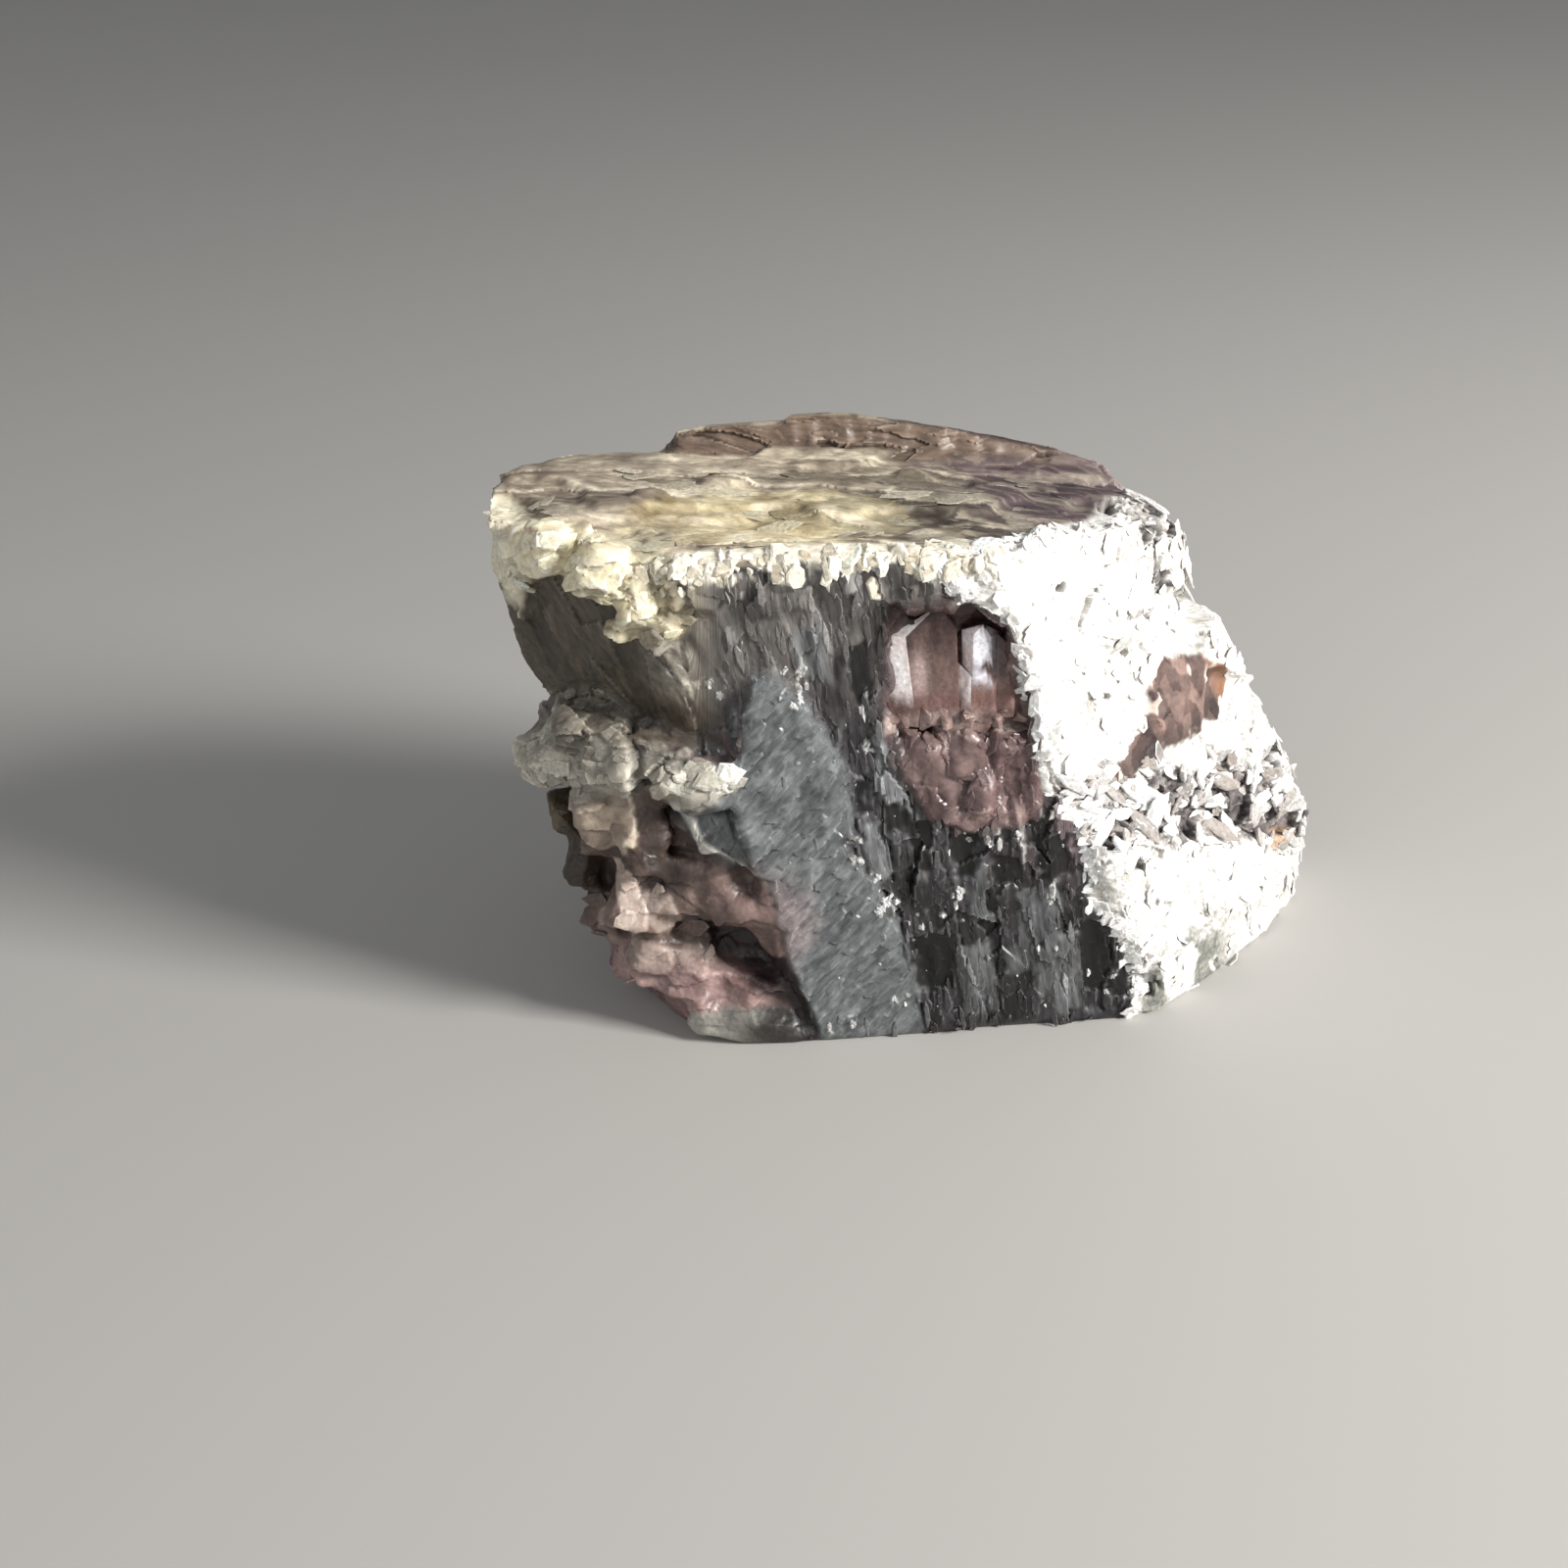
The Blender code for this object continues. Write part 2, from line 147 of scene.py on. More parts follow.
def add_floor(half):
    """A square floor at height zero."""
    mesh = bpy.data.meshes.new("floor")
    corners = [(-half, -half, 0), (half, -half, 0), (half, half, 0), (-half, half, 0)]
    mesh.from_pydata(corners, [], [(0, 1, 2, 3)])
    mesh.materials.append(floor_material())
    floor = placed("floor", mesh)


def add_lamp(name, towards, distance, size, power, colour):
    """A square soft lamp, placed from the stone's middle in a direction and aimed back at it."""
    light = bpy.data.lights.new(name, "AREA")
    light.size = size
    light.energy = power
    light.color = colour
    lamp = placed(name, light)
    direction = Vector(towards).normalized()
    lamp.location = STONE_MIDDLE + direction * distance
    lamp.rotation_euler = direction.to_track_quat("Z", "Y").to_euler()


add_floor(FLOOR_HALF)
add_lamp("key", (0.80, -0.47, 0.46), 0.9, 0.25, 13.5, (1.0, 0.98, 0.95))
add_lamp("fill", (-0.7, -1.0, 0.8), 1.2, 0.8, 2.2, (0.95, 0.97, 1.0))
studio = bpy.data.worlds.new("studio")
studio.use_nodes = True
studio.node_tree.nodes["Background"].inputs["Color"].default_value = (0.96, 0.98, 1.0, 1)
studio.node_tree.nodes["Background"].inputs["Strength"].default_value = 0.28
bpy.context.scene.world = studio
bpy.context.scene.view_settings.view_transform = "Standard"

# %% [markdown]
# ## Two kinds of chance
# Broken rock needs two kinds of randomness. Smooth noise bends and stains. Plates are sharp:
# space is parted into cells, each place belongs to the nearest of the cells' points, and
# every cell has its own height and lean. That is how cleaved mica looks, so the plates do
# most of the work, in long, tall or round cells as the side of the stone asks.

# %% Noise, plates and sheets
LATTICE = (32, 32, 32)
FAR = 99.0


def ramp(value, start, end):
    """Rises smoothly from 0 at start to 1 at end: t * t * (3 - 2 * t)."""
    t = np.clip((value - start) / (end - start), 0, 1)
    return t * t * (3 - 2 * t)


def noise(points, cell, seed):
    """Random values between -1 and 1 on a lattice of cells, blended smoothly between them."""
    table = np.random.default_rng(seed).uniform(-1, 1, LATTICE)
    place = points / np.asarray(cell, dtype=float)
    home = np.floor(place).astype(int)
    fade = ramp(place - home, 0, 1)
    total = np.zeros(len(points))
    for corner in np.ndindex(2, 2, 2):
        pick = tuple(((home + corner) % LATTICE).T)
        side = np.where(np.array(corner) == 1, fade, 1 - fade)
        total += table[pick] * side.prod(axis=1)
    return total


def plates(points, cell, seed, where):
    """Sharp random plates. Gives three rows of values, and three of the way from the middle.

    Each cell of a lattice holds one random point. A place takes the values of the nearest
    point, with distances measured in cell sizes. Places outside the region stay at zero.
    """
    rows = np.zeros((6, len(points)))
    chosen = np.flatnonzero(where > 0.01)
    place = points[chosen] / np.asarray(cell, dtype=float)
    home = np.floor(place).astype(int)
    rng = np.random.default_rng(seed)
    spots = rng.uniform(0.08, 0.92, (*LATTICE, 3))
    drawn = rng.uniform(-1, 1, (*LATTICE, 3))
    nearest = np.full(len(chosen), FAR)
    for step in np.ndindex(3, 3, 3):
        cell_of = home + step - 1
        pick = tuple((cell_of % LATTICE).T)
        gap = place - cell_of - spots[pick]
        distance = (gap * gap).sum(axis=1)
        closer = distance < nearest
        nearest = np.where(closer, distance, nearest)
        rows[:3, chosen[closer]] = drawn[pick][closer].T
        rows[3:, chosen[closer]] = gap[closer].T
    return rows


def sheets(points, tread, seed):
    """Sheets that overlap like slates. Gives their height, a value a sheet, and the way back.

    Three sets of wavy bands run from left to right. In each band the height falls from front
    to back, on top of a broad swell of its own, and the highest set is the one that shows. The
    way back is 0 at the front edge of a sheet and 1 where the next one hides it.
    """
    height = np.full(len(points), -FAR)
    value, back = np.zeros((2, len(points)))
    for number in range(3):
        wave = (1.2 * noise(points, (2.4 * tread, 2.2 * tread, FAR), seed + number)
                + 0.3 * noise(points, (0.9 * tread, 0.8 * tread, FAR), seed + 5 + number))
        place = points[:, 1] / tread + wave
        band = np.floor(place)
        swell = noise(points, (1.7 * tread, 1.2 * tread, FAR), seed + 10 + number)
        table = np.random.default_rng(seed + number).uniform(-1, 1, 64)[band.astype(int) % 64]
        lie = swell + 0.4 * table + 0.5 * (1 - (place - band))
        over = lie > height
        height = np.where(over, lie, height)
        value = np.where(over, table, value)
        back = np.where(over, place - band, back)
    return height, value, back


# %% [markdown]
# ## The skin
# The stone's facets are too coarse to carve. Its surface is copied, joined and remade in
# even faces a third of a millimetre wide, which hold the relief that follows. Sculpting by
# hand would do the same work, but here every mark comes from a rule and can be changed.

# %% An even skin
SKIN_CELL = 0.36
BROAD_ROUNDS = 14
FINE_ROUNDS = 3


def baked(thing):
    """Replaces an object's mesh by its modified one and drops the modifiers."""
    graph = bpy.context.evaluated_depsgraph_get()
    mesh = bpy.data.meshes.new_from_object(thing.evaluated_get(graph))
    thing.modifiers.clear()
    thing.data = mesh
    return thing


def as_object(name, bm):
    """Turns an edited mesh into an object in the scene."""
    mesh = bpy.data.meshes.new(name)
    bm.to_mesh(mesh)
    bm.free()
    return placed(name, mesh)


def even_skin(node, cell):
    """Joins the loose triangles of a copy of the node and remakes its surface evenly."""
    bm = bmesh.new()
    bm.from_mesh(node.data)
    bmesh.ops.remove_doubles(bm, verts=bm.verts, dist=0.001 * MM)
    thing = as_object("stone_skin", bm)
    remake = thing.modifiers.new("even skin", "REMESH")
    remake.mode = "VOXEL"
    remake.voxel_size = cell * MM
    return baked(thing)


def read_array(collection, field, width):
    """Reads one field of all vertices, edges or faces as an array of rows."""
    kind = int if field == "vertices" else float
    values = np.empty(len(collection) * width, dtype=kind)
    collection.foreach_get(field, values)
    return values.reshape(-1, width)


def relaxed(points, edges, rounds):
    """In each round, every point goes half way to the mean of its neighbours."""
    count = np.bincount(edges.ravel(), minlength=len(points))[:, None]
    for _ in range(rounds):
        total = np.zeros_like(points)
        for axis in range(points.shape[1]):
            column = points[:, axis]
            total[:, axis] = (np.bincount(edges[:, 0], column[edges[:, 1]], len(points))
                              + np.bincount(edges[:, 1], column[edges[:, 0]], len(points)))
        points = points + 0.5 * (total / count - points)
    return points


skin = even_skin(solid, SKIN_CELL)
edges = read_array(skin.data.edges, "vertices", 2)
start = read_array(skin.data.vertices, "co", 3) / MM
broad = relaxed(start, edges, BROAD_ROUNDS)
skin.data.vertices.foreach_set("co", (broad * MM).ravel())
skin.data.update()
facing = read_array(skin.data.vertices, "normal", 3)
places = relaxed(start, edges, FINE_ROUNDS)
x, y, z = places.T
print("skin:", len(start), "points")

# %% [markdown]
# ## Where each kind of break is
# The stone isn't the same all over. Each region gets a weight between 0 and 1 at every point
# of the skin, from the way the surface looks and from outlines in millimetres, drawn on the
# front by width and height. Noise pushes every border about, so that none looks ruled.

# %% Outlines and regions
ragged = (noise(places, 5, 1) * 0.55 + noise(places, 1.8, 2) * 0.45
          + noise(places, 0.9, 3) * 0.3)


def inside(outline, across, up, blur, wander=1.0):
    """1 inside a closed outline, 0 outside, blurred over some mm, with a wandering border.

    The distance to the border is the least one to its straight edges. A place is inside if a
    line from it to the right crosses the border an odd number of times.
    """
    nearest = np.full(len(across), 1e9)
    odd = np.zeros(len(across), dtype=bool)
    for (a, b), (c, d) in zip(outline, outline[1:] + outline[:1]):
        along = ((across - a) * (c - a) + (up - b) * (d - b)) / ((c - a) ** 2 + (d - b) ** 2)
        along = np.clip(along, 0, 1)
        gap = np.hypot(across - a - along * (c - a), up - b - along * (d - b))
        nearest = np.minimum(nearest, gap)
        if b != d:
            odd ^= ((b > up) != (d > up)) & (across < a + (c - a) * (up - b) / (d - b))
    return ramp(np.where(odd, nearest, -nearest) + wander * ragged, -blur, blur)


def blob(centre, reach):
    """1 inside an ellipsoid of the given reach, 0 outside, with a ragged border."""
    away = (places - np.array(centre)) / np.array(reach)
    return ramp(1.0 - np.sqrt((away * away).sum(axis=1)) + 0.22 * ragged, -0.15, 0.15)


def any_of(*weights):
    """The union of regions: 1 less the product of what each leaves out."""
    left = np.ones(len(places))
    for weight in weights:
        left = left * (1 - weight)
    return 1 - left


def lumps(rows, seed):
    """Flat-faced lumps on the front. Gives how far they stand out, where, and how pale.

    A lump is a square with round corners, where (|u|^4 + |v|^4)^(1/4) is below 1, with its face
    leaning by chance. A row gives its middle, width, height, how far it stands out and how
    pale it is, from -1 to 1.
    """
    rng = np.random.default_rng(seed)
    lift, shown, pale = np.zeros((3, len(places)))
    for across, up, wide, tall, rise, tone in rows:
        turn = rng.uniform(-0.35, 0.35)
        u = 2 * (x - across + turn * (z - up)) / wide + 0.3 * ragged
        v = 2 * (z - up - turn * (x - across)) / tall + 0.3 * ragged
        reach = (u ** 4 + v ** 4) ** 0.25
        lean = rng.uniform(-0.45, 0.45, 2)
        height = rise * (1 + lean[0] * u + lean[1] * v) * ramp(-reach, -1.1, -0.8)
        pale = np.where(height > lift, tone, pale)
        lift = np.maximum(lift, height)
        shown = np.maximum(shown, ramp(-reach, -1.12, -0.92))
    return lift * in_front, shown * in_front, pale


RIGHT_FACE = np.array([0.715, -0.668, 0.2])
from_right = (places - np.array([28.8, -32.1, 0])) @ RIGHT_FACE
forward = 4 * noise(places, (9, 9, 7), 4) + 2 * ragged - y
in_front = ramp(forward, 9, 12.5)
up_facing = ramp(facing[:, 2] - 0.28 * ramp(y, 2, 8), 0.5, 0.75) * ramp(z, 58, 64)

white_edge = np.interp(z, [0, 5, 11, 16, 20, 26, 31, 36, 38, 43, 48, 52, 58, 60, 64, 68, 71],
                       [27, 29, 26, 24, 21.5, 21, 20, 16.5, 14, 13.3, 12.8, 10.8, 11, 8, 5, 2, 1])
top_edge = np.interp(y, [-34, -31, -23, -16, -4.4, -0.4, 10, 20], [1, 7, 12, 20, 26, 30, 37, 42])
edge = white_edge + (top_edge - white_edge) * up_facing
white = (ramp(x - edge + 1.6 * ragged, -0.9, 0.9) * ramp(from_right + 1.5 * ragged, -11, -8)
         * ramp(facing @ RIGHT_FACE + 0.6 * up_facing + 0.12 * ragged, 0.0, 0.12))
pocket_outline = [(-6.5, 67), (2, 66.8), (4.6, 64), (8.5, 60.5), (11.5, 58), (11.2, 52.5), (12.8, 47.7),
                  (13.5, 43.4), (14.2, 36), (13, 33), (9.5, 32), (4, 32), (-1.2, 34.6), (-4.5, 39),
                  (-7, 45), (-7.8, 52), (-7, 60)]
pocket = inside(pocket_outline, x, z, 0.7, 0.8) * ramp(-y, 12, 15)
white = white * (1 - pocket)
window_outline = [(31.5, 47.8), (36.3, 46.5), (40.7, 45.6), (46, 39.5), (44.5, 33), (38, 35.4),
                  (31, 36), (25.5, 33.2), (24.3, 36.9), (29.2, 40.2), (31, 43.7)]
window = inside(window_outline, x, z, 0.4, 1.1) * ramp(from_right, -9, -7)
top = up_facing * (1 - white)
front = (ramp(-facing[:, 1], 0.4, 0.65) * ramp(-y, 6, 12) * (1 - white)
         * (1 - pocket) * (1 - top))
silver_outline = [(-24.3, 57), (-20.5, 56), (-16.7, 52), (-13.6, 46), (-12, 40), (-12, 34.6),
                  (-13.4, 31), (-8.3, 24.4), (-5.1, 16), (-3, 3), (-3, -1), (-18, -1), (-18.6, 4),
                  (-21.7, 13), (-23.4, 22), (-25, 29.6), (-26.6, 37), (-28.2, 44), (-27.5, 51)]
under_outline = [(-36.4, 39.6), (-24, 42), (-22, 30), (-23.5, 26), (-31, 28.6), (-34.3, 33.2)]
under_ledge = inside(under_outline, x, z, 0.8, 0.8) * in_front
silver = np.maximum(inside(silver_outline, x, z, 0.8, 1.1) * front, under_ledge)
ledge_outline = [(-62, 36), (-60, 43), (-50.1, 50), (-44.9, 51), (-39.8, 47.5), (-36, 44.8),
                 (-29.6, 44.4), (-27.0, 42.5), (-33, 38.8), (-42, 40), (-48.2, 38.2), (-55, 35.5)]
ledge = inside(ledge_outline, x, z, 1.2, 1.8) * in_front
cream_outline = [(-62, 80), (-36, 80), (-34, 73), (-33, 65), (-34.2, 62.5), (-39.5, 66.8), (-44, 68.5),
                 (-47, 67), (-50, 70), (-54, 67), (-56.5, 61), (-62, 58)]
cream = (inside(cream_outline, x, z, 0.8, 1.4) * ramp(forward, 16, 19)
         * ramp(forward - 0.15 * x, 24.5, 27))
cream = any_of(cream, blob((-58.5, -14, 70), (4, 7, 9)) * 0.8,
               blob((-32, -34, 42), (4.5, 3, 2.8)), blob((-41.5, -33, 66.5), (4.5, 5, 5)))
pink = (ramp(39 - z + 2 * ragged, -1.5, 1.5) * in_front * ramp(-x - 0.12 * z, 18, 20)
        * (1 - silver) * (1 - ledge))
flank = (ramp(-x, 28, 33) * ramp(z, 44, 48) * ramp(forward, 4, 7)
         * (1 - top) * (1 - cream) * (1 - ledge))
on_front = (silver, ledge, cream, pink, flank)
blades = front * np.prod([1 - weight for weight in on_front], axis=0)
rest = np.clip(1 - sum((white, pocket, top, *on_front)) - blades, 0, 1)
crumb_top = np.interp(x, [14, 17, 24, 30, 35, 45, 52, 58], [35, 37.5, 38.5, 34, 32.3, 28.7, 24, 17])
crumb_low = np.interp(x, [7, 14, 30, 40, 52, 59], [29, 30, 27, 19, 13.5, 9])
crumb = (ramp(z - crumb_low + 1.5 * ragged, -1.5, 1.5) * ramp(crumb_top - z + 2 * ragged, -2, 2)
         * white)
region = {"top": top, "blades": blades, "silver": silver, "flank": flank, "ledge": ledge, "cream": cream,
          "pink": pink, "pocket": pocket, "white": white, "rest": rest}
for name, weight in region.items():
    print(f"{name}: {weight.mean():.1%} of the skin")

# %% [markdown]
# ## Relief
# Each region is broken in its own way. The top is cut into terraces with curved brinks, each
# the edge of a sheet. The front is the sheets seen edge on, as tall narrow blades, and a few
# of them are missing and leave a slot, which is painted near black as painted shade. The
# right-hand face is scaly and pitted. The pink mica low on the left breaks into flat facets,
# the cream corner and the ledge into blocks, and the back shows the edges of the sheets. All
# heights are in millimetres along the normal.

# %% Relief of the top and the front
def tilted(plate, high, lean, tip=0.0, dip=0.0):
    """Relief of plates: high * a + lean * b * across + tip * c * up - dip * up.

    Here a, b and c are a plate's values, and across and up lead from its middle to the place.
    """
    return high * plate[0] + lean * plate[1] * plate[3] + (tip * plate[2] - dip) * plate[5]


def panels(rows):
    """The union of upright, slightly leaning panels on the front: middle, width and height."""
    shown = np.zeros(len(places))
    for across, up, wide, tall in rows:
        corners = [(across + a * wide / 2 - b * 0.05 * tall, up + b * tall / 2)
                   for a, b in ((-1, -1), (1, -1), (1, 1), (-1, 1))]
        shown = np.maximum(shown, inside(corners, x + 0.6 * striae, z, 0.5, 1.3))
    return shown * blades


bend = np.stack([noise(places, 17, 60 + axis) for axis in range(3)], axis=1)
curl = np.stack([noise(places, 5, 70 + axis) for axis in range(3)], axis=1)
bent = places + 1.6 * bend + 0.5 * curl

flat = places + 1.5 * bend + 0.7 * curl + np.outer(0.12 * x, (0, 1, 0))
lens, lens_value, lens_back = sheets(flat, 8.0, 101)
leaf, leaf_value, leaf_back = sheets(flat, 3.2, 121)
topping = (0.42 * lens + 0.14 * leaf - 0.45) * (1 - 0.4 * ramp(y, -4, 8))

upright = places + 0.7 * bend + 0.3 * curl + np.outer(0.10 * z, (1, 0, 0))
column = plates(upright, (4.6, 80, 10), 110, front)
blade = plates(upright, (1.9, 80, 5.5), 111, blades)
sliver = plates(upright, (0.9, 80, 3), 112, blades)
striae = noise(upright, (0.75, 80, 7), 114)
shaded_slots = panels([
    (-6.6, 34.6, 3.1, 4.8), (-2.6, 29.8, 2.6, 7.1), (3.3, 28.7, 3.0, 8.4), (-14.5, 25.9, 1.9, 4.3),
    (-1.7, 11.8, 5.8, 8.4), (9.2, 26, 4.4, 5), (15.7, 27.2, 4.6, 6.5), (21.6, 10.6, 3.6, 11),
    (26.5, 6.4, 3.3, 4.9), (-11, 37.9, 2.0, 4.3), (6.7, 21.5, 2.0, 3.9), (-10.5, 56, 1.5, 8)])
grey_panels = (1 - shaded_slots) * panels([
    (5.2, 22.7, 2.8, 9.3), (13.3, 18.3, 5.1, 7.9), (17.2, 8.6, 4.6, 12.8), (4.8, 8.8, 5, 11.2),
    (12, 11.7, 5.3, 3.7), (-8.8, 29.7, 2.2, 8.8), (-6.4, 41.7, 3.4, 12.2), (-16.5, 60, 4, 8)])
glint_spots = [
    (-11.2, 30.1, 2.2, 2), (-9.3, 25.2, 1, 2.2), (-7.6, 21.6, 1.8, 1.6), (-3, 18.6, 1.6, 1.2),
    (0.5, 18.4, 2.4, 1.2), (2.6, 22, 1, 2), (14, 13, 2.2, 1.3), (-10.9, 52, 1.4, 3), (-9.8, 45.5, 1.2, 2.6),
    (15.2, 23.8, 0.7, 3.3), (7.5, 31.2, 4, 1.4), (-5.4, 6.3, 2.4, 0.8), (-14.5, 2.5, 2.2, 1.6),
    (-18.9, 54.5, 2.6, 3.5), (-32.3, 54.2, 4.4, 2.4), (23.5, 7.7, 3, 1)]
# Glints are painted highlights: where they lie, the tints turn near white and near-white flakes are strewn.
clusters = any_of(*(blob((across, -33, up), (wide, 4, tall)) for across, up, wide, tall in glint_spots))
glitter = noise(places + 0.8 * curl, (1.0, 2, 1.6), 115) + 0.7 * noise(places, (0.5, 1, 0.7), 116)
glint = clusters * ramp(glitter, 0.25, 0.5)
broken = 1 - 0.5 * np.maximum(shaded_slots, np.maximum(grey_panels, ramp(z, 46, 52)))
bladed = (tilted(column, 0.45, 0.6, 0.4)
          + broken * (0.26 * blade[0] + 0.4 * blade[2] * blade[3] + 0.13 * sliver[0] + 0.12 * striae)
          - 0.55 * shaded_slots + 0.2 * grey_panels + 0.2 * glint - 0.25) * (1 - 0.5 * ramp(z, 46, 54))

# %% [markdown]
# The right-hand face is a crust of slabs, scales and chips. It is loose in the crumbly band
# and on the shoulder, and a notch breaks its outline above that band. Streaks run down the
# flank on the left.

# %% Relief of the two sides
slab = plates(bent, (7, 7, 5.5), 121, white)
scale = plates(bent, (2.7, 2.7, 1.6), 122, white)
chip = plates(bent, (1.2, 1.2, 0.9), 123, white)
pit_noise = (0.8 * noise(places, (6, 6, 3.4), 124) + 0.6 * noise(places, (2.8, 2.8, 1.6), 125)
             + 0.3 * noise(places, 1.1, 129))
shoulder = any_of(blob((34, -1, 66), (11, 10, 5)), blob((36, -9, 58), (3, 4, 2)),
                  blob((56, 0, 19), (4, 6, 10)))
foot_gaps = ramp(pit_noise, -0.15, 0.1) * ramp(-z, -13, -6) * ramp(-x, -37, -30)
pits = ramp(pit_noise, -0.1, 0.15) * crumb + ramp(pit_noise, 0.8, 1.0) * (1 - crumb)
pits = any_of(pits, ramp(pit_noise, 0.1, 0.3) * shoulder, foot_gaps) * (1 - window) * white
stripe = noise(upright, (2.2, 80, 9), 128) + 0.5 * ragged
greenish = (ramp(stripe, -0.12, 0.1) * ramp(3 * ragged - z, -11, -6) * ramp(x, 27, 31)
            * ramp(-x, -47, -41) * white)
loose = np.clip(0.4 + crumb + shoulder, 0, 1)
crumble = (tilted(slab, 0.35, 0.65, 0.65)
           + loose * (tilted(scale, 0.22, 0.5, 0.5) + tilted(chip, 0.12, 0.3, 0.3))
           - 1.5 * pits - 0.3) * (1 - 0.6 * window)
notch = ramp(-z, -57, -52.5) * ramp(z, 48.5, 50.5) * ramp(x, 33, 38)
crumble = crumble - 3.4 * notch

leaning = bent + np.outer(0.30 * z, (1, 0, 0))
streak = plates(leaning, (3.6, 7, 12), 131, flank)
fibre = plates(leaning, (1.3, 3, 5), 132, flank)
streaks = tilted(streak, 0.3, 0.5, 0.4) + 0.10 * fibre[0] + 0.15 * noise(leaning, (0.9, 3, 6), 133) - 0.2

# %% [markdown]
# The cream corner and the ledge break into blocks, and the pink mica into flat facets with a
# round flat disc among them. On both, the largest lumps are placed one by one.

# %% Relief of the blocks and the facets
blocky = np.maximum(cream, ledge)
knob = plates(bent, (8.5, 7, 4.6), 141, blocky)
grit = plates(bent, (2.8, 2.6, 1.7), 142, blocky)
cream_lift, cream_lump, cream_pale = lumps([
    (-51.3, 75.4, 9.0, 9, 0.8, 0.9), (-43.1, 73.2, 6.4, 8, 0.7, 0.7), (-42, 67.4, 5.0, 4.5, 0.5, 0.1),
    (-37.6, 67.4, 4.5, 4, 0.5, 0.6), (-35.6, 63.8, 3.4, 3, 0.4, 0.3), (-57, 70.5, 3.5, 5, 0.5, 0.4),
    (-56, 63.5, 3, 4, 0.4, -0.2), (-58.5, 75, 3, 4, 0.5, 0.5)], 144)
knobs = (1 - 0.5 * cream) * (tilted(knob, 0.6, 1.2, dip=0.9) + 1.2 * noise(places, (7, 7, 4), 143))
knobs = knobs + cream_lift * cream * ramp(-facing[:, 1], 0.2, 0.6) + tilted(grit, 0.2, 0.3, dip=0.45)

facet = plates(bent + 0.35 * np.outer(z, (1, 0, 0)), (9, 8, 6.5), 151, pink)
flake = plates(bent, (3.2, 3, 2.2), 152, pink)
pink_lift, pink_lump, pink_pale = lumps([
    (-43.6, 22.8, 3.8, 10, 0.5, 0.9), (-39.2, 20.5, 4.2, 8, 0.4, 0.5), (-41.5, 12.8, 6, 5, 0.5, 0.3),
    (-35.2, 12.0, 4.4, 4.0, 0.3, -0.3), (-47.6, 14.5, 3.0, 7, 0.4, -0.2), (-31.5, 24.4, 6, 4, 0.3, -0.4),
    (-44.5, 6.5, 4.4, 4, 0.4, 0.0), (-37, 6.4, 7, 3.6, 0.4, -0.1)], 153)
facets = tilted(facet, 0.25, 0.45, dip=0.5) + tilted(flake, 0.1, 0.2, dip=0.25) - 0.3 + pink_lift
disc_reach = np.hypot((x + 46.3) / 5.0, (z - 35.3) / 5.6) + 0.22 * ragged + 10 * ramp(y, -24, -20)
disc = ramp(-disc_reach, -1.1, -0.97)
facets = facets + (0.3 + tilted(flake, 0.3, 0.3, dip=0.3) - facets) * disc

# %% [markdown]
# Small books line the pocket, long shelves run round the back, and fine spangles slant over
# the silver panel. A pale ridge, a crack and a cleft are single marks.

# %% Relief of the rest
book = plates(bent, (4.2, 5, 3.4), 161, pocket)
leaflet = plates(bent, (1.7, 2, 2.0), 162, pocket)
books = (tilted(book, 0.25, 0.5, 0.2) + tilted(leaflet, 0.12, 0.3, 0.2)
         + blob((1, -32, 40), (7.5, 7, 7.5)) + 1.6 * blob((-1, -28, 67.5), (8, 8, 3)))

layered = bent + np.outer(-0.15 * y + 0.1 * x, (0, 0, 1))
shelf = plates(layered, (17, 12, 2.2), 171, rest)
layer = plates(layered, (7, 6, 0.95), 172, rest)
shelves = tilted(shelf, 0.6, 0.5) + 0.22 * layer[0] - 0.3

slanted = np.stack([x + z, 1.4 * y, z - x], axis=1) / math.sqrt(2) + 0.4 * curl
spangle = plates(slanted, (2.8, 3, 1.2), 181, silver)
silvery = 0.35 * noise(places, (4, 4, 6), 182) + tilted(spangle, 0.1, 0.3, dip=0.16) + 0.15 * glint

ridge_outline = [(-36.6, 39.5), (-31.6, 29.6), (-25.5, 27.2), (-30.8, 30.8), (-35.4, 40)]
crack_outline = [(-23.5, 14), (-22.3, 14.5), (-17.2, 0), (-20.5, 0)]
cleft_outline = [(-42.4, 51), (-39.4, 47), (-38.8, 38), (-41, 37.5), (-41.4, 44)]
ridge = inside(ridge_outline, x, z, 0.5, 0.8) * in_front
crack = inside(crack_outline, x, z, 0.5, 0.7) * in_front
cleft = inside(cleft_outline, x, z, 0.6, 1.0) * ledge

# %% [markdown]
# All of it adds up to one push. Two swellings fill the hollow under the ledge, and the push is
# smoothed where the stone breaks softly.

# %% One push for all
def swelling(centre, reach):
    """A smooth swelling on the front, which ends 1.2 reaches from its middle."""
    away = (places - centre) / reach
    return ramp(1.2 - np.sqrt((away * away).sum(axis=1)), 0, 0.9) * in_front


push = (top * topping + blades * bladed + white * crumble + flank * streaks + blocky * knobs
        + pink * facets + pocket * books + rest * shelves + silver * silvery
        + 0.4 * ridge - 0.6 * crack - 1.6 * cleft + 0.06 * noise(places, 0.8, 191))
push = push + 3.0 * swelling((-32, -29, 33), (8, 9, 8)) + 2.0 * swelling((-29, -27, 21), (6.5, 9, 4.5))
soft = np.clip(0.5 * pink + 0.35 * blocky + 0.2 * pocket + 0.4 * flank, 0, 1)
push = push + soft * (relaxed(push[:, None], edges, 4)[:, 0] - push)
print("relief from", push.min().round(2), "to", push.max().round(2), "mm")

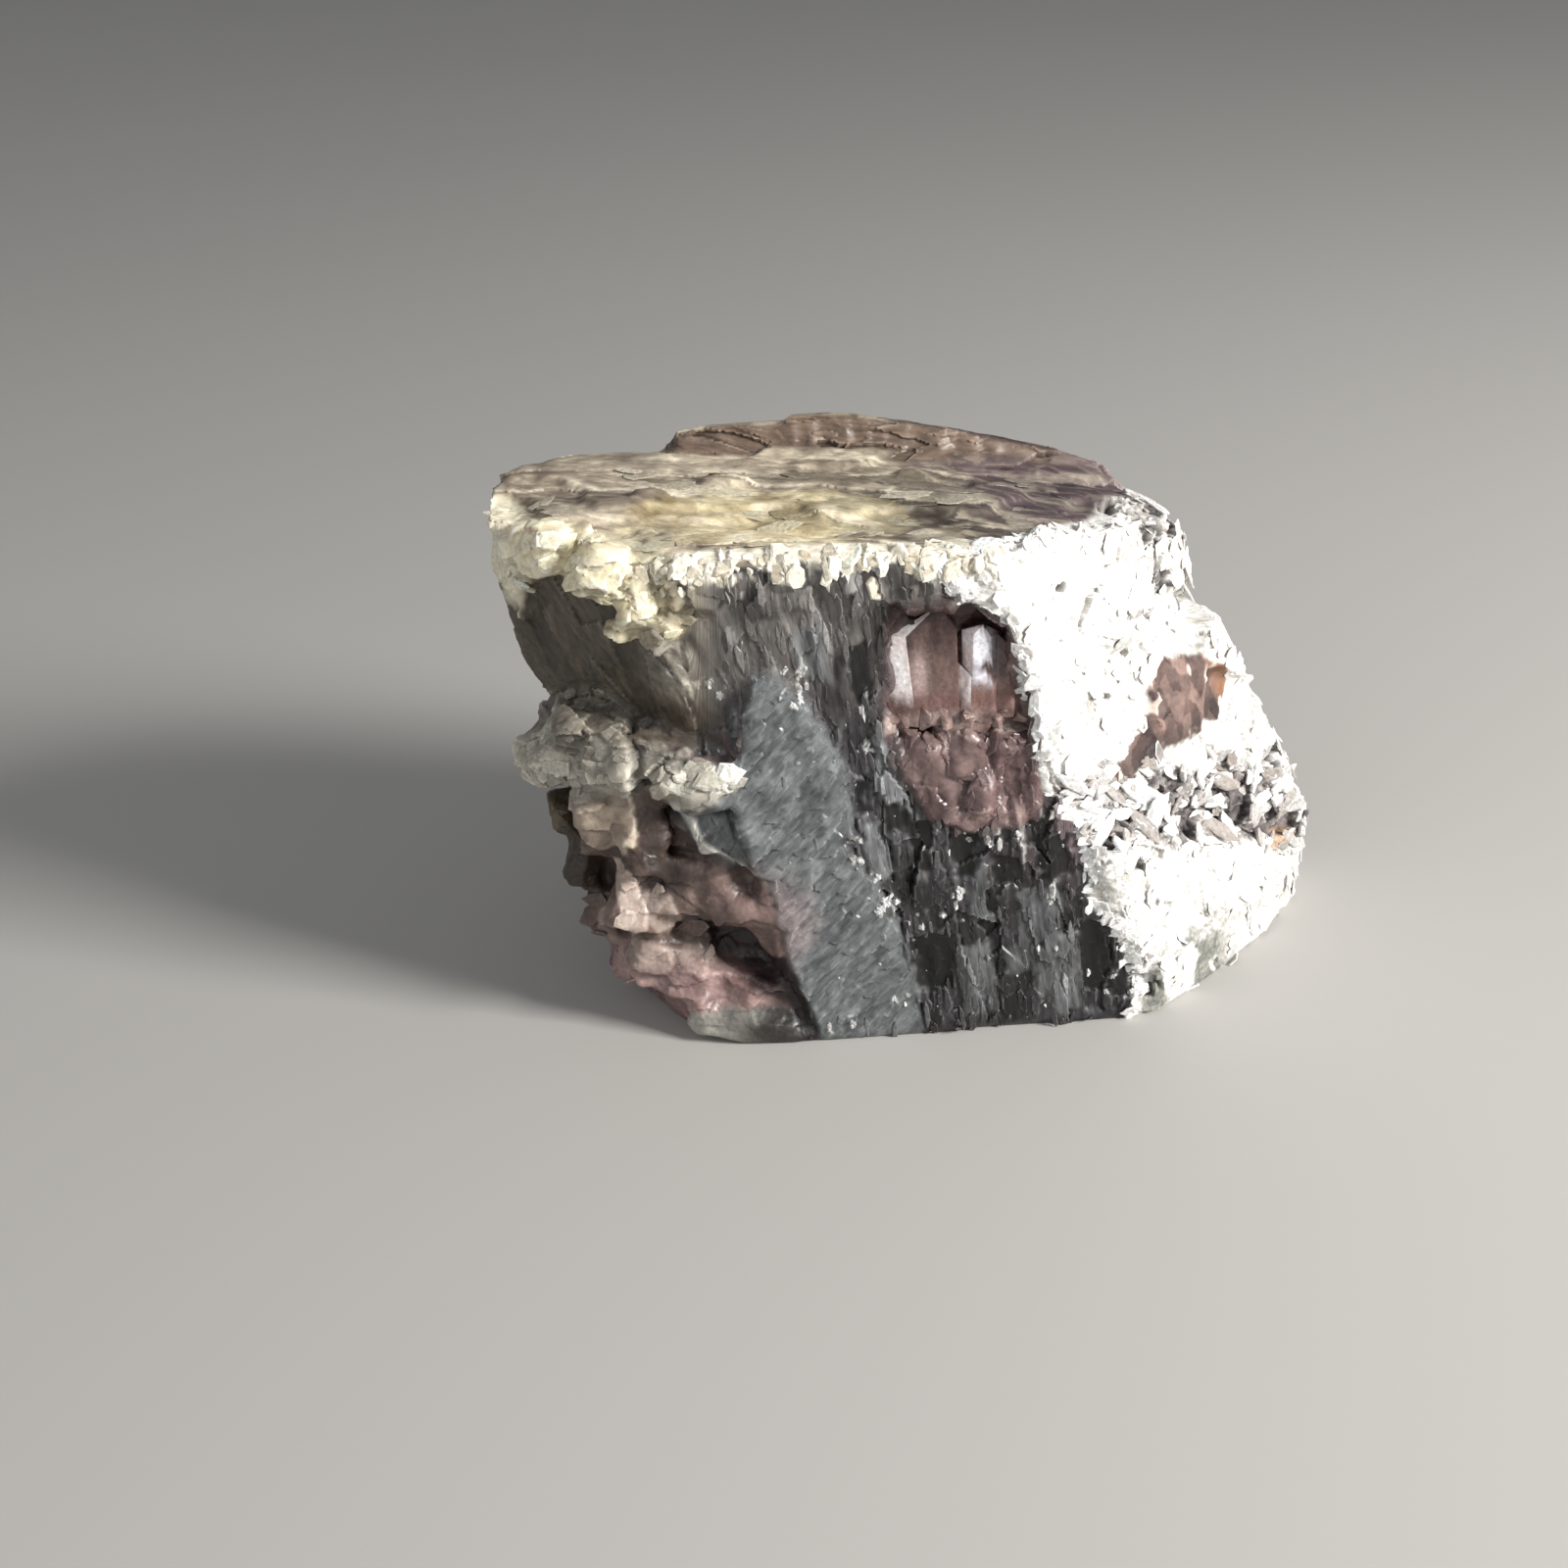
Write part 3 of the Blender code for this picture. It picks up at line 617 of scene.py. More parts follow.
# %% [markdown]
# The finest lines are finer than the skin's faces, so the finish draws them. They run as the
# sheets do: upright on the front, slanting on the flank, level on the back. The skin carries
# a grain place for this, which is the true place squeezed along the lines.

# %% Grain places
squeezed = {"blades": upright * (1, 0.3, 0.12), "flank": leaning * (0.8, 0.4, 0.4),
            "rest": layered * (0.12, 0.12, 1), "top": flat * (0.35, 0.9, 0.3),
            "silver": slanted * (0.3, 0.5, 0.9)}
grain_place = places.copy()
for name, place in squeezed.items():
    grain_place = grain_place + (place - places) * region[name][:, None]

# %% [markdown]
# The skin is moved along its broad normals, fading out just above the ground so that the
# foot stays flat, and it's held inside the solid's box, so that the stone keeps its size.

# %% Moving the skin
standing = ramp(z, 0.6, 2.6)
moved = places + facing * (push * standing)[:, None]
moved = np.clip(moved, low, high)
moved[:, 2] = np.where(start[:, 2] < 0.3, start[:, 2], moved[:, 2])

# %% [markdown]
# ## Colour
# The colour of every point is mixed from a few paint codes by the same regions and the same
# plates, so that a plate which stands out can also be paler. The last step paints light and
# shade into the colour: what sticks out gets a painted highlight and what lies deep gets
# painted shade, as edges catch the light and grooves lie in shade. It is measured on the
# moved skin as the way from each point to the mean of its neighbours.

# %% Mixing and laying on colours
def mixed(first, second, weight):
    """Blends two colours, or two arrays of colours, by a weight at each point."""
    return first + (second - first) * np.clip(weight, 0, 1)[:, None]


def between(dark, pale, value):
    """A colour between two paint codes, from a value of -1 to one of 1."""
    return mixed(linear(dark)[None, :], linear(pale)[None, :], 0.5 + 0.5 * value)


def coated(colour, *coats):
    """Lays coats over a colour, one after another. Each coat ends with its weight.

    Before the weight stands a paint code, or a factor on the colour so far, or two paint codes
    and a value between them.
    """
    for *paint, weight in coats:
        if len(paint) == 3:
            coat = between(*paint)
        elif isinstance(paint[0], str):
            coat = linear(paint[0])
        else:
            coat = colour * paint[0]
        colour = mixed(colour, coat, weight)
    return colour


patch = noise(places, 9, 201)
fine = noise(places, 2.2, 202)
tints = {}

# %% [markdown]
# The top is brown to cream, stained yellow on the left and plum on the right, with a painted
# highlight on the front edge of every sheet and painted shade where the next sheet covers it.
# A pale band runs along the rim, where the teeth will hang.

# %% Tints of the top and the front
cloud = noise(flat, (7.5, 3.6, FAR), 205) + 0.5 * noise(flat, (3.2, 1.7, FAR), 206)
lens_look = 0.5 * lens_value + 0.3 * leaf_value + 0.2 * patch + 0.7 * cloud
stain = ramp(blob((-20, -20, 74), (20, 10, 9)) + 0.5 * patch, 0.1, 1.0)
plum = ramp(x + 0.35 * y + 5 * ragged, -4, 12)
darker = ramp(x, -24, 4)
sheet_edge_highlight = ramp(0.25 - lens_back, -0.12, 0.15) + 0.5 * ramp(0.25 - leaf_back, -0.1, 0.15)
rim_band = (ramp(-y, 29.5, 31) * ramp(z + 3.2 * ragged + 1.5 * fine, 70.3, 71.8) * ramp(-x, -12, -6)
            * ramp(x, -42, -38))
tints["top"] = coated(
    between("#54483e", "#c4b59f", lens_look + 0.4 * fine),
    ("#a59268", "#fbeec4", lens_look + 0.5 * fine, 0.75 * stain),
    (0.38, darker),
    ("#281d24", "#57444b", lens_look + 0.4 * fine, 0.92 * plum),
    ("#4d4338", "#7f725f", fine, 0.75 * blob((0, -25, 74), (12, 2.4, 9))),
    # Painted highlight on the front edge of each sheet, then painted shade where the next sheet hides it.
    ("#ece0c8", (0.6 - 0.3 * plum - 0.1 * darker) * sheet_edge_highlight * ramp(patch + fine, -0.8, 0.6)),
    (0.85, ramp(lens_back, 0.75, 1.0)),
    ("#f8f0dc", 0.85 * rim_band))

blade_look = 0.8 * column[1] + 0.4 * blade[2] + 0.3 * sliver[0] + 0.2 * striae
lighter = any_of(ramp(z, 30, 36) * ramp(-z, -52, -48) * ramp(-x, 4, 9), ramp(x, 12, 18))
tints["blades"] = coated(
    between("#0d0b0c", "#4b494c", blade_look),
    ("#1f1618", "#5f494b", blade_look, 0.6 * ramp(patch, 0, 0.6)),
    ("#2d2a29", "#85807b", 0.6 * blade_look + 0.7 * fine, 0.8 * ramp(z, 46, 60)),
    ("#b5b3b0", 0.55 * ramp(striae + 0.4 * sliver[1], 0.7, 0.95)),
    # The slots are painted near black, as painted shade.
    ("#030303", "#121011", 0.5 * sliver[0] + striae, shaded_slots),
    ("#4e5051", "#808283", fine + 0.7 * striae, 0.85 * grey_panels),
    (0.55, ramp(-z, -30, -16)),
    (1.35, lighter),
    # Painted glints.
    ("#e9e6e1", 0.9 * glint),
    ("#f8f0dc", 0.85 * rim_band))

speck = noise(slanted, (1.6, 2, 0.6), 203)
rosy = ramp(1.4 - np.hypot((x + 25) / 7, (z - 20) / 7.5) + 0.3 * ragged, 0, 1)
tints["silver"] = coated(
    between("#414546", "#7f8283", 0.4 * fine + 0.5 * spangle[2] + 0.35 * speck + 0.3 * patch),
    # Near-white flecks, painted sparkle.
    ("#d2d3d2", 0.8 * ramp(speck + 0.3 * spangle[0], 0.85, 1.0)),
    ("#7d7070", "#ab9a99", 0.5 * fine + 0.6 * speck, 0.8 * rosy),
    # Painted shade on the face under the ledge.
    (0.45, under_ledge * ramp(-x - 0.6 * (z - 34), 27, 34)),
    # Painted glints.
    ("#e9e6e1", 0.9 * glint))

# %% [markdown]
# The left side goes from the cream corner through the grey flank and the ledge to the pink
# mica, which a band of painted shade crosses from the upper left to the lower right.

# %% Tints of the left side
pale_streak = ramp(noise(leaning, (2.2, 6, 9), 204) + 0.3 * fine, 0.3, 0.7) * ramp(z, 54, 68)
tints["flank"] = coated(
    between("#231e19", "#685e51", 0.5 * streak[2] + 0.2 * fibre[0] + 0.5 * fine),
    ("#57514a", "#b5aea2", fine + 0.5 * streak[2], 0.8 * ramp(x, -42, -34) * ramp(z, 50, 56)),
    ("#91866f", 0.65 * pale_streak),
    # Painted glints.
    ("#cfc8b8", 0.8 * glint))
tints["ledge"] = coated(
    between("#6a655b", "#d4cdbe", 0.7 * knob[1] + 0.4 * grit[0] + 0.5 * fine),
    ("#3f3a33", "#8d8577", fine + 0.5 * patch, 0.7 * ramp(z - 0.1 * x, 48, 53)))
tints["cream"] = coated(
    between("#998d74", "#e2d8bb", 0.6 * knob[1] + 0.5 * grit[0] + 0.5 * fine),
    ("#b0a27c", "#f8edcd", cream_pale + 0.5 * fine + 0.3 * grit[0], 0.8 * cream_lump),
    (0.75, ramp(x, -40, -37) * ramp(z, 56, 60)),
    # The far left edge is painted near white, a painted highlight on a side that faces away from the lamp.
    ("#fff6dd", 0.8 * ramp(-x, 53, 57)),
    ("#a3a098", 0.8 * ramp(-z, -52, -48)),
    # A near-white spot at the tip of the ledge, a painted highlight.
    ("#fffdf5", 0.9 * blob((-29.4, -34, 42.6), (1.4, 4, 2))))

above = z - 14 + 0.7 * (x + 23.6) + ragged
disc_brink = (ramp(x + 0.4 * z + 3 * fine, -34, -31)
              * ramp(-np.abs(disc_reach - 0.98 - 0.1 * fine), -0.1, -0.03))
tints["pink"] = coated(
    between("#43342f", "#8f7a70", 0.4 * facet[1] + 0.25 * flake[0] + 0.7 * patch + 0.5 * fine),
    ("#6d5a52", "#cbb9ad", pink_pale + 0.4 * fine + 0.3 * flake[0], 0.7 * pink_lump),
    ("#75595a", "#bd9f9a", fine + 0.5 * patch, 0.7 * ramp(-z, -14, -9)),
    # Painted shade under the ledge.
    ("#3a2f2a", 0.8 * blob((-37.5, -30, 31), (4, 8, 8))),
    ("#54433f", "#8f7871", fine + 0.5 * patch,
     ramp(x, -36, -32) * ramp(above, -1, 1.5) * ramp(1.5 * ragged - z, -28, -24.5)),
    # A band of painted shade in the hollow.
    ("#1b1314", "#463636", patch + fine,
     ramp(x, -37, -31) * ramp(-above, -0.5, 1.5) * ramp(above, -9.5, -6.5)),
    ("#4b4236", "#6d614f", fine, ramp(-x, 48, 51) * ramp(z, 14, 20)),
    ("#85766a", "#bcac9b", fine + 0.4 * flake[0], disc),
    # A painted highlight along the disc's right brink.
    ("#e2d2bc", 0.7 * disc_brink),
    ("#352b24", 0.8 * blob((-52, -17, 22), (5, 8, 6))),
    ("#33302d", "#a8a59d", 0.5 * fine - 0.2 * (x + 31), blob((-28, -33, 2), (12, 5, 3.5))))

# %% [markdown]
# The pocket is purple-brown with a pale line across and painted shade under its roof. The
# right-hand face is nearly white but for its pits, painted dark as shade, a greenish foot and
# the brown window, and the back is purple-grey.

# %% Tints of the pocket, the right and the back
line_outline = [(-8, 49.5), (1, 48.2), (10, 48.6), (13, 52), (12.5, 46), (1, 46.6), (-7, 47.4)]
tints["pocket"] = coated(
    between("#3f3032", "#8c7571", 0.2 * book[2] + 0.4 * leaflet[2] + 0.8 * fine),
    ("#453436", "#7d6664", striae + 0.4 * fine, ramp(x + 0.25 * (z - 40), 4, 8) * ramp(-z, -49, -46)),
    ("#bfa8a0", 0.8 * ramp(striae + 0.2 * fine, 0.7, 0.85) * ramp(x, 3, 6)),
    ("#282120", "#57494a", striae + fine, ramp(-x + 1.5 * fine, 4.2, 6.0)),
    # Painted shade under the pocket's roof.
    ("#321b18", 0.9 * ramp(z, 60, 63)),
    ("#8a736c", "#d6c4bb", fine + 0.5 * book[0], 0.6 * inside(line_outline, x, z, 0.4, 1.6)))

pane = plates(bent, (2.6, 2.6, 7), 126, window)
window_tint = coated(
    between("#3a2826", "#937a71", 0.7 * pane[1] + 0.5 * fine + 0.3 * scale[1]),
    (0.45, ramp(-z, -40, -36)),
    ("#9c6a48", 0.7 * ramp(x + 0.3 * z + 2 * fine, 54, 57)),
    ("#e9d8cc", 0.8 * ramp(noise(bent, (1.5, 1.5, 4), 127), 0.4, 0.6)))
white_tint = coated(
    between("#beb9b2", "#f4f2ee", 0.6 * scale[0] + 0.6 * slab[0] + 0.4 * chip[1] + 0.3),
    # The crumbly band, the shoulder and the pits are painted dark, as painted shade in the gaps and pits.
    ("#2e2929", "#857c78", fine + 0.5 * chip[0], 0.85 * (crumb + 0.4 * shoulder)),
    ("#2c2727", "#787070", fine + 0.5 * chip[0], 0.9 * pits),
    ("#3e4038", "#85877d", fine, 0.9 * greenish))
tints["white"] = coated(mixed(white_tint, window_tint, window),
                        ("#b39376", 0.7 * blob((56, 0, 11), (2.5, 4, 1.4))))
tints["rest"] = coated(
    between("#5d4e50", "#998a88", 0.6 * layer[0] + 0.6 * shelf[2] + 0.4 * patch),
    ("#57473a", "#7b6857", fine, 0.9 * ramp(z, 70, 74) * ramp(-y, -25, -18)))

# %% [markdown]
# The tints of all regions are blended by their weights, and the cream counts four times, so
# that it stays clean at its borders. Edges then get a painted highlight and grooves painted
# shade, where the stone is crisp.

# %% One tint for all
CREAM_STRENGTH = 4.0

tint = np.zeros((len(places), 3))
shares = np.zeros(len(places))
for name, colour in tints.items():
    strength = region[name] * (CREAM_STRENGTH if name == "cream" else 1.0)
    tint = tint + colour * strength[:, None]
    shares = shares + strength
tint = tint / np.maximum(shares, 0.01)[:, None]
# The ridge gets a pale painted highlight along its raised edge, and the crack and the cleft are darkened as
# painted shade.
tint = coated(tint, ("#cfcbc2", 0.7 * ridge), ("#1c1214", 0.85 * crack), (0.35, cleft))

# Painted highlight on what sticks out and painted shade in what lies deep.
bulge = ((moved - relaxed(moved, edges, 2)) * facing).sum(axis=1)
crisp = (1 - 0.75 * top - 0.6 * pink - 0.4 * blocky - 0.6 * pocket - 0.4 * silver
         - 0.6 * white * (1 - crumb))
tint = mixed(tint, np.clip(tint * 1.8 + 0.06, 0, 0.92), 0.8 * crisp * ramp(bulge, 0.02, 0.14))
tint = coated(tint, (0.35, 0.8 * crisp * ramp(-bulge, 0.02, 0.16)))
gloss = np.clip(0.42 + 0.18 * fine + 0.25 * white + 0.1 * blocky + 0.12 * top - 0.1 * silver
                - 0.12 * pocket, 0.15, 0.85)
glow = np.clip(pink + pocket * ramp(x, -6.5, -4) + 0.7 * blocky + window + 0.25 * top, 0, 1)
print("tint from", tint.min().round(3), "to", tint.max().round(3))

# %% [markdown]
# ## One mesh with its marks
# The moved points, the tint, the gloss and the glow are stored on the mesh. The back and the
# foot are then thinned, because nobody looks at them as closely, and the skin is parted into
# four pieces which share their borders.

# %% Writing, thinning and parting the skin
THIN_RATIO = 0.72
CREASE = math.radians(38)
TOP_STARTS = 66
FRONT_ENDS = -22


def write_field(mesh, name, values, domain="POINT"):
    """Stores a number, a colour or a place for each point or face corner, under a name."""
    if values.ndim == 1:
        mesh.attributes.new(name, "FLOAT", domain).data.foreach_set("value", values)
    elif name == "grain":
        mesh.attributes.new(name, "FLOAT_VECTOR", domain).data.foreach_set("vector", values.ravel())
    else:
        full = np.concatenate([values, np.ones((len(values), 1))], axis=1)
        mesh.attributes.new(name, "FLOAT_COLOR", domain).data.foreach_set("color", full.ravel())


def thinned(thing, weight, ratio):
    """Collapses faces down to a share, taking most of them where the weight is high."""
    group = thing.vertex_groups.new(name="spare")
    for step in (1, 2, 3):
        members = np.flatnonzero((weight > step / 4) & (weight <= (step + 1) / 4 + 1e-6))
        group.add(members.tolist(), step / 3, "REPLACE")
    thin = thing.modifiers.new("thin", "DECIMATE")
    thin.vertex_group = "spare"
    thin.ratio = ratio
    thin.use_collapse_triangulate = True
    return baked(thing)


def split(thing, names, part_of):
    """Parts a mesh into named pieces, by a function from face centres to piece numbers."""
    centres = read_array(thing.data.polygons, "center", 3) / MM
    number = part_of(centres)
    pieces = []
    for index, name in enumerate(names):
        bm = bmesh.new()
        bm.from_mesh(thing.data)
        bm.faces.ensure_lookup_table()
        away = [bm.faces[i] for i in np.flatnonzero(number != index)]
        bmesh.ops.delete(bm, geom=away, context="FACES")
        pieces.append(as_object(name, bm))
        print(name, len(pieces[-1].data.polygons), "triangles")
    bpy.data.objects.remove(thing)
    return pieces


def side_of(centres):
    """0 for the top, 1 for the front, 2 for the right and left flanks, 3 for the back."""
    across, deep, up = centres.T
    number = np.where(deep > 0.35 * across + 2, 3, 2)
    number = np.where((deep < FRONT_ENDS) & (np.abs(across + 5) < 34), 1, number)
    return np.where(up > TOP_STARTS, 0, number)


mesh = skin.data
mesh.vertices.foreach_set("co", (moved * MM).ravel())
mesh.update()
for name, values in (("tint", tint), ("gloss", gloss), ("glow", glow), ("grain", grain_place)):
    write_field(mesh, name, values)
spare = any_of(ramp(-facing[:, 2], 0.8, 0.95), 0.6 * rest * ramp(y, 0, 10))
thinned(skin, spare, THIN_RATIO)
pieces = split(skin, ("terraced_top", "bladed_front", "scaly_flanks", "layered_back"), side_of)
for piece in pieces:
    piece.data.set_sharp_from_angle(angle=CREASE)

# %% [markdown]
# ## Mica
# Mica is a clear mineral in thin sheets. Light goes a little way in, comes back coloured,
# and each sheet throws a soft pearly shine of its own. So the finish has an index near 1.56,
# a middling roughness that changes from grain to grain, some light under the surface where
# the stone is pink or cream, and a fine bump of sheet grain less than a millimetre across.

# %% Mica material
def mica_material():
    """Broken mica: tint, gloss and glow come from the skin, the finest grain from noise."""
    material, tree = new_material("broken mica")
    place, tint_of, gloss_of, glow_of = (
        add_node(tree, "ShaderNodeAttribute", {"attribute_name": name})
        for name in ("grain", "tint", "gloss", "glow"))
    grain = add_node(tree, "ShaderNodeTexNoise", {"Scale": 1.5, "Detail": 5.0, "Roughness": 0.7},
                     {"Vector": place.outputs["Vector"]})
    flakes = add_node(tree, "ShaderNodeTexVoronoi", {"Scale": 1.2},
                      {"Vector": place.outputs["Vector"]})
    shade = add_node(tree, "ShaderNodeMapRange", {"From Min": 0.3, "From Max": 0.7, "To Min": 0.5,
                                                  "To Max": 1.5},
                     {"Value": grain.outputs["Fac"]})
    speckled = add_node(tree, "ShaderNodeMath", {"operation": "MULTIPLY_ADD", 1: -0.6, 2: 1.0},
                        {0: glow_of.outputs["Fac"]})
    coloured = add_node(tree, "ShaderNodeMix", {"data_type": "RGBA", "blend_type": "MULTIPLY"},
                        {0: speckled.outputs[0], 6: tint_of.outputs["Color"], 7: shade.outputs[0]})
    flake_gloss = add_node(tree, "ShaderNodeMapRange", {"To Min": -0.16, "To Max": 0.16},
                           {"Value": flakes.outputs["Color"]})
    roughness = add_node(tree, "ShaderNodeMath", {"operation": "ADD", "use_clamp": True},
                         {0: gloss_of.outputs["Fac"], 1: flake_gloss.outputs[0]})
    under = add_node(tree, "ShaderNodeMath", {"operation": "MULTIPLY", 1: 0.35},
                     {0: glow_of.outputs["Fac"]})
    height = add_node(tree, "ShaderNodeMix", {"data_type": "FLOAT", 0: 0.5},
                      {2: grain.outputs["Fac"], 3: flakes.outputs["Distance"]})
    bump = add_node(tree, "ShaderNodeBump", {"Strength": 0.55, "Distance": 0.0003},
                    {"Height": height.outputs[0]})
    mica = add_node(tree, "ShaderNodeBsdfPrincipled",
                    {"IOR": 1.56, "Specular IOR Level": 0.45, "Subsurface Scale": 0.003,
                     "Subsurface Radius": (1.0, 0.55, 0.5)},
                    {"Base Color": coloured.outputs[2], "Roughness": roughness.outputs[0],
                     "Subsurface Weight": under.outputs[0], "Normal": bump.outputs["Normal"]})
    add_node(tree, "ShaderNodeOutputMaterial", {}, {"Surface": mica.outputs["BSDF"]})
    return material


mica = mica_material()

# %% [markdown]
# ## Shards
# The crispest shapes are too small or too sharp for the skin, so they are laid on it: leaves
# in the pocket, teeth along the rim, blades on the front, scales on the right, and thin
# sheets on the top. All are the same thing, a stack of rings round a broken outline, which is
# flat for a sheet, tall for a blade and thick for a book. One function makes a whole heap.

# %% Heaps of shards
def unit(vectors):
    """Vectors brought to length 1."""
    return vectors / np.maximum(np.linalg.norm(vectors, axis=1, keepdims=True), 1e-9)


def heap(name, centres, out, along, sizes, colour, rim_highlight, seed, corners=7, shine=0.35, depth=0.4,
         rim_side=(0, 0, 0), rings=((0.80, 0.5), (1.0, 0.30), (0.98, -0.2), (0.85, -0.5))):
    """A heap of broken plates as one mesh.

    Plate i lies across the direction out[i] with its long side along[i]. Its corners stand
    round an ellipse of half sizes sizes[i, 0:2], at uneven angles and radii. Ring k repeats the
    outline, scaled by the first number of rings[k] and lifted by the second times the
    thickness sizes[i, 2]. Flat caps close both ends. The second ring has the rim's colour, a
    painted highlight along the edge, all round or only where it points to the rim side. The
    last ring is darkened by half, as painted shade under the plate.
    """
    rng = np.random.default_rng(seed)
    count = len(centres)
    w = unit(out)
    u = unit(along - (along * w).sum(axis=1, keepdims=True) * w)
    v = np.cross(w, u)
    angle = (np.arange(corners) + rng.uniform(-0.32, 0.32, (count, corners))) * 2 * np.pi / corners
    reach = rng.uniform(0.72, 1.15, (count, corners))
    steps = np.array(rings)
    wobble = 1 + rng.uniform(-0.07, 0.07, (count, len(rings), corners))
    size = reach[:, None, :] * steps[None, :, :1] * wobble
    flat_u = size * np.cos(angle)[:, None, :] * sizes[:, 0, None, None]
    flat_v = size * np.sin(angle)[:, None, :] * sizes[:, 1, None, None]
    lift = (steps[:, 1][None, :, None] + rng.uniform(-0.04, 0.04, flat_u.shape)) * sizes[:, 2, None, None]
    sideways = flat_u[..., None] * u[:, None, None, :] + flat_v[..., None] * v[:, None, None, :]
    spots = centres[:, None, None, :] + sideways + lift[..., None] * w[:, None, None, :]
    ring, corner = np.meshgrid(np.arange(len(rings) - 1), np.arange(corners), indexing="ij")
    following = (corner + 1) % corners
    sides = np.stack([ring * corners + corner, (ring + 1) * corners + corner,
                      (ring + 1) * corners + following, ring * corners + following], axis=-1)
    base = (np.arange(count) * len(rings) * corners)[:, None, None]
    quads = (sides.reshape(1, -1, 4) + base).reshape(-1, 4)
    caps = np.stack([np.arange(corners), (len(rings) - 1) * corners + np.arange(corners)[::-1]])
    ends = (caps[None] + base).reshape(-1, corners)
    mesh = bpy.data.meshes.new(name)
    inside_box = np.clip(spots.reshape(-1, 3), low + 0.01, high - 0.01)
    mesh.from_pydata((inside_box * MM).tolist(), [], quads.tolist() + ends.tolist())
    shade = 1 + depth * rng.uniform(-1, 1, (count, 1, 1, 1))
    paint = colour[:, None, None, :] * shade * np.ones(spots.shape)
    facing_side = unit(sideways[:, 1].reshape(-1, 3)) @ np.array(rim_side)
    rim_share = np.where(np.any(rim_side), ramp(facing_side, 0.2, 0.8), 1.0).reshape(count, corners, 1)
    # The rim ring takes a painted highlight and the bottom ring painted shade.
    paint[:, 1] += (rim_highlight[:, None, :] - paint[:, 1]) * rim_share
    paint[:, -1] *= 0.5
    write_field(mesh, "tint", np.clip(paint.reshape(-1, 3), 0, 0.95))
    per_plate = len(rings) * corners
    shines = np.clip(shine + rng.uniform(-0.15, 0.2, count), 0.08, 1)
    write_field(mesh, "gloss", np.repeat(shines, per_plate))
    write_field(mesh, "glow", np.full(count * per_plate, 0.4))
    write_field(mesh, "grain", spots.reshape(-1, 3))
    pieces.append(placed(name, mesh))
    print(name, count, "plates,", len(quads) * 2 + len(ends) * (corners - 2), "triangles")


def scattered(weight, count, seed):
    """Random points of the skin, each as likely as its weight says."""
    chance = weight / weight.sum()
    return np.random.default_rng(seed).choice(len(places), count, replace=False, p=chance)


def sizes_of(count, seed, limits):
    """Random half length, half width and thickness, each between two limits, mostly small."""
    rng = np.random.default_rng(seed)
    pull = rng.uniform(0, 1, (count, 1)) ** 1.8
    least, most = np.array(limits).T
    return least + (most - least) * (0.8 * pull + 0.2 * rng.uniform(0, 1, (count, 3)))


def jitter(count, seed, amount):
    """Random directions to add to others, of at most some length on each axis."""
    return np.random.default_rng(seed).uniform(-1, 1, (count, 3)) * amount


def tinted(dark, pale, count, seed):
    """A random colour between two paint codes for each of a number of things."""
    return between(dark, pale, np.random.default_rng(seed).uniform(-1, 1, count))


def strewn(name, weight, count, seed, sink, tip, along, turn, limits, own, rim, lean=(0, 0, 0),
           rim_step=5, last_step=6, **looks):
    """Strews plates over the skin where a weight is high, and makes one heap of them.

    They are sunk by some mm, face outwards but for a lean and a random tip, and lie along a
    direction but for a random turn. Their own colour is the skin's, or a random one between two
    codes. The rim's, a painted highlight along the edge, is a random one too, or goes a share
    of the way to a code or to paler.
    """
    spot = scattered(weight, count, seed)
    skin_tint = tint[spot]
    if isinstance(rim[1], str):
        rim_highlight_tint = tinted(*rim, count, seed + rim_step)
    else:
        goal = np.clip(skin_tint * 1.3 + 0.03, 0, 0.95) if rim[0] == "paler" else linear(rim[0])
        rim_highlight_tint = mixed(skin_tint, goal, np.full(count, rim[1]))
    heap(name, moved[spot] - sink * facing[spot], facing[spot] + jitter(count, seed + 1, tip) + lean,
         jitter(count, seed + 2, turn) + along, sizes_of(count, seed + 3, limits),
         tinted(*own, count, seed + 4) if own else skin_tint, rim_highlight_tint, seed + last_step, **looks)


# %% [markdown]
# The top carries loose ends of sheets, long from left to right, lifted at the front. The rim
# below has short teeth which hang down and are nearly white.

# %% Top sheets and rim teeth
UPWARDS = np.array([0, 0, 1])

# Their front rims are painted pale, a painted highlight.
strewn("top_sheets", top * ramp(facing[:, 2], 0.93, 0.98) * (0.15 + ramp(-y, -4, 2)), 110, 301,
       sink=0.05, tip=0.03, along=(1, 0, 0), turn=0.5, limits=((1.0, 4.5), (0.6, 2.0), (0.07, 0.15)),
       own=None, rim=("#efe4cd", 0.45), lean=(0, 0.02, 0), last_step=4, corners=9, depth=0.12,
       rim_side=(0, -1, 0), shine=0.5)

rim_weight = (ramp(-y, 30, 31) * ramp(z, 68, 71) * ramp(-z, -74.5, -72.5)
              * ramp(x, -42, -38) * ramp(-x, -14, -8) * ramp(-facing[:, 1], 0.2, 0.5))
strewn("rim_teeth", rim_weight * (0.1 + rim_band), 170, 311,
       sink=0.2, tip=0.4, along=UPWARDS, turn=0.8, limits=((0.5, 2.2), (0.5, 1.6), (0.5, 0.9)),
       own=("#b9ab93", "#fff6e4"), rim=("#d8ccb5", "#fffaf0"), depth=0.15)

# %% [markdown]
# The front is made of the long edges of sheets. Thin upright blades stand a little proud of
# it. A few short flakes painted near white lie among them in clusters, as painted glints.

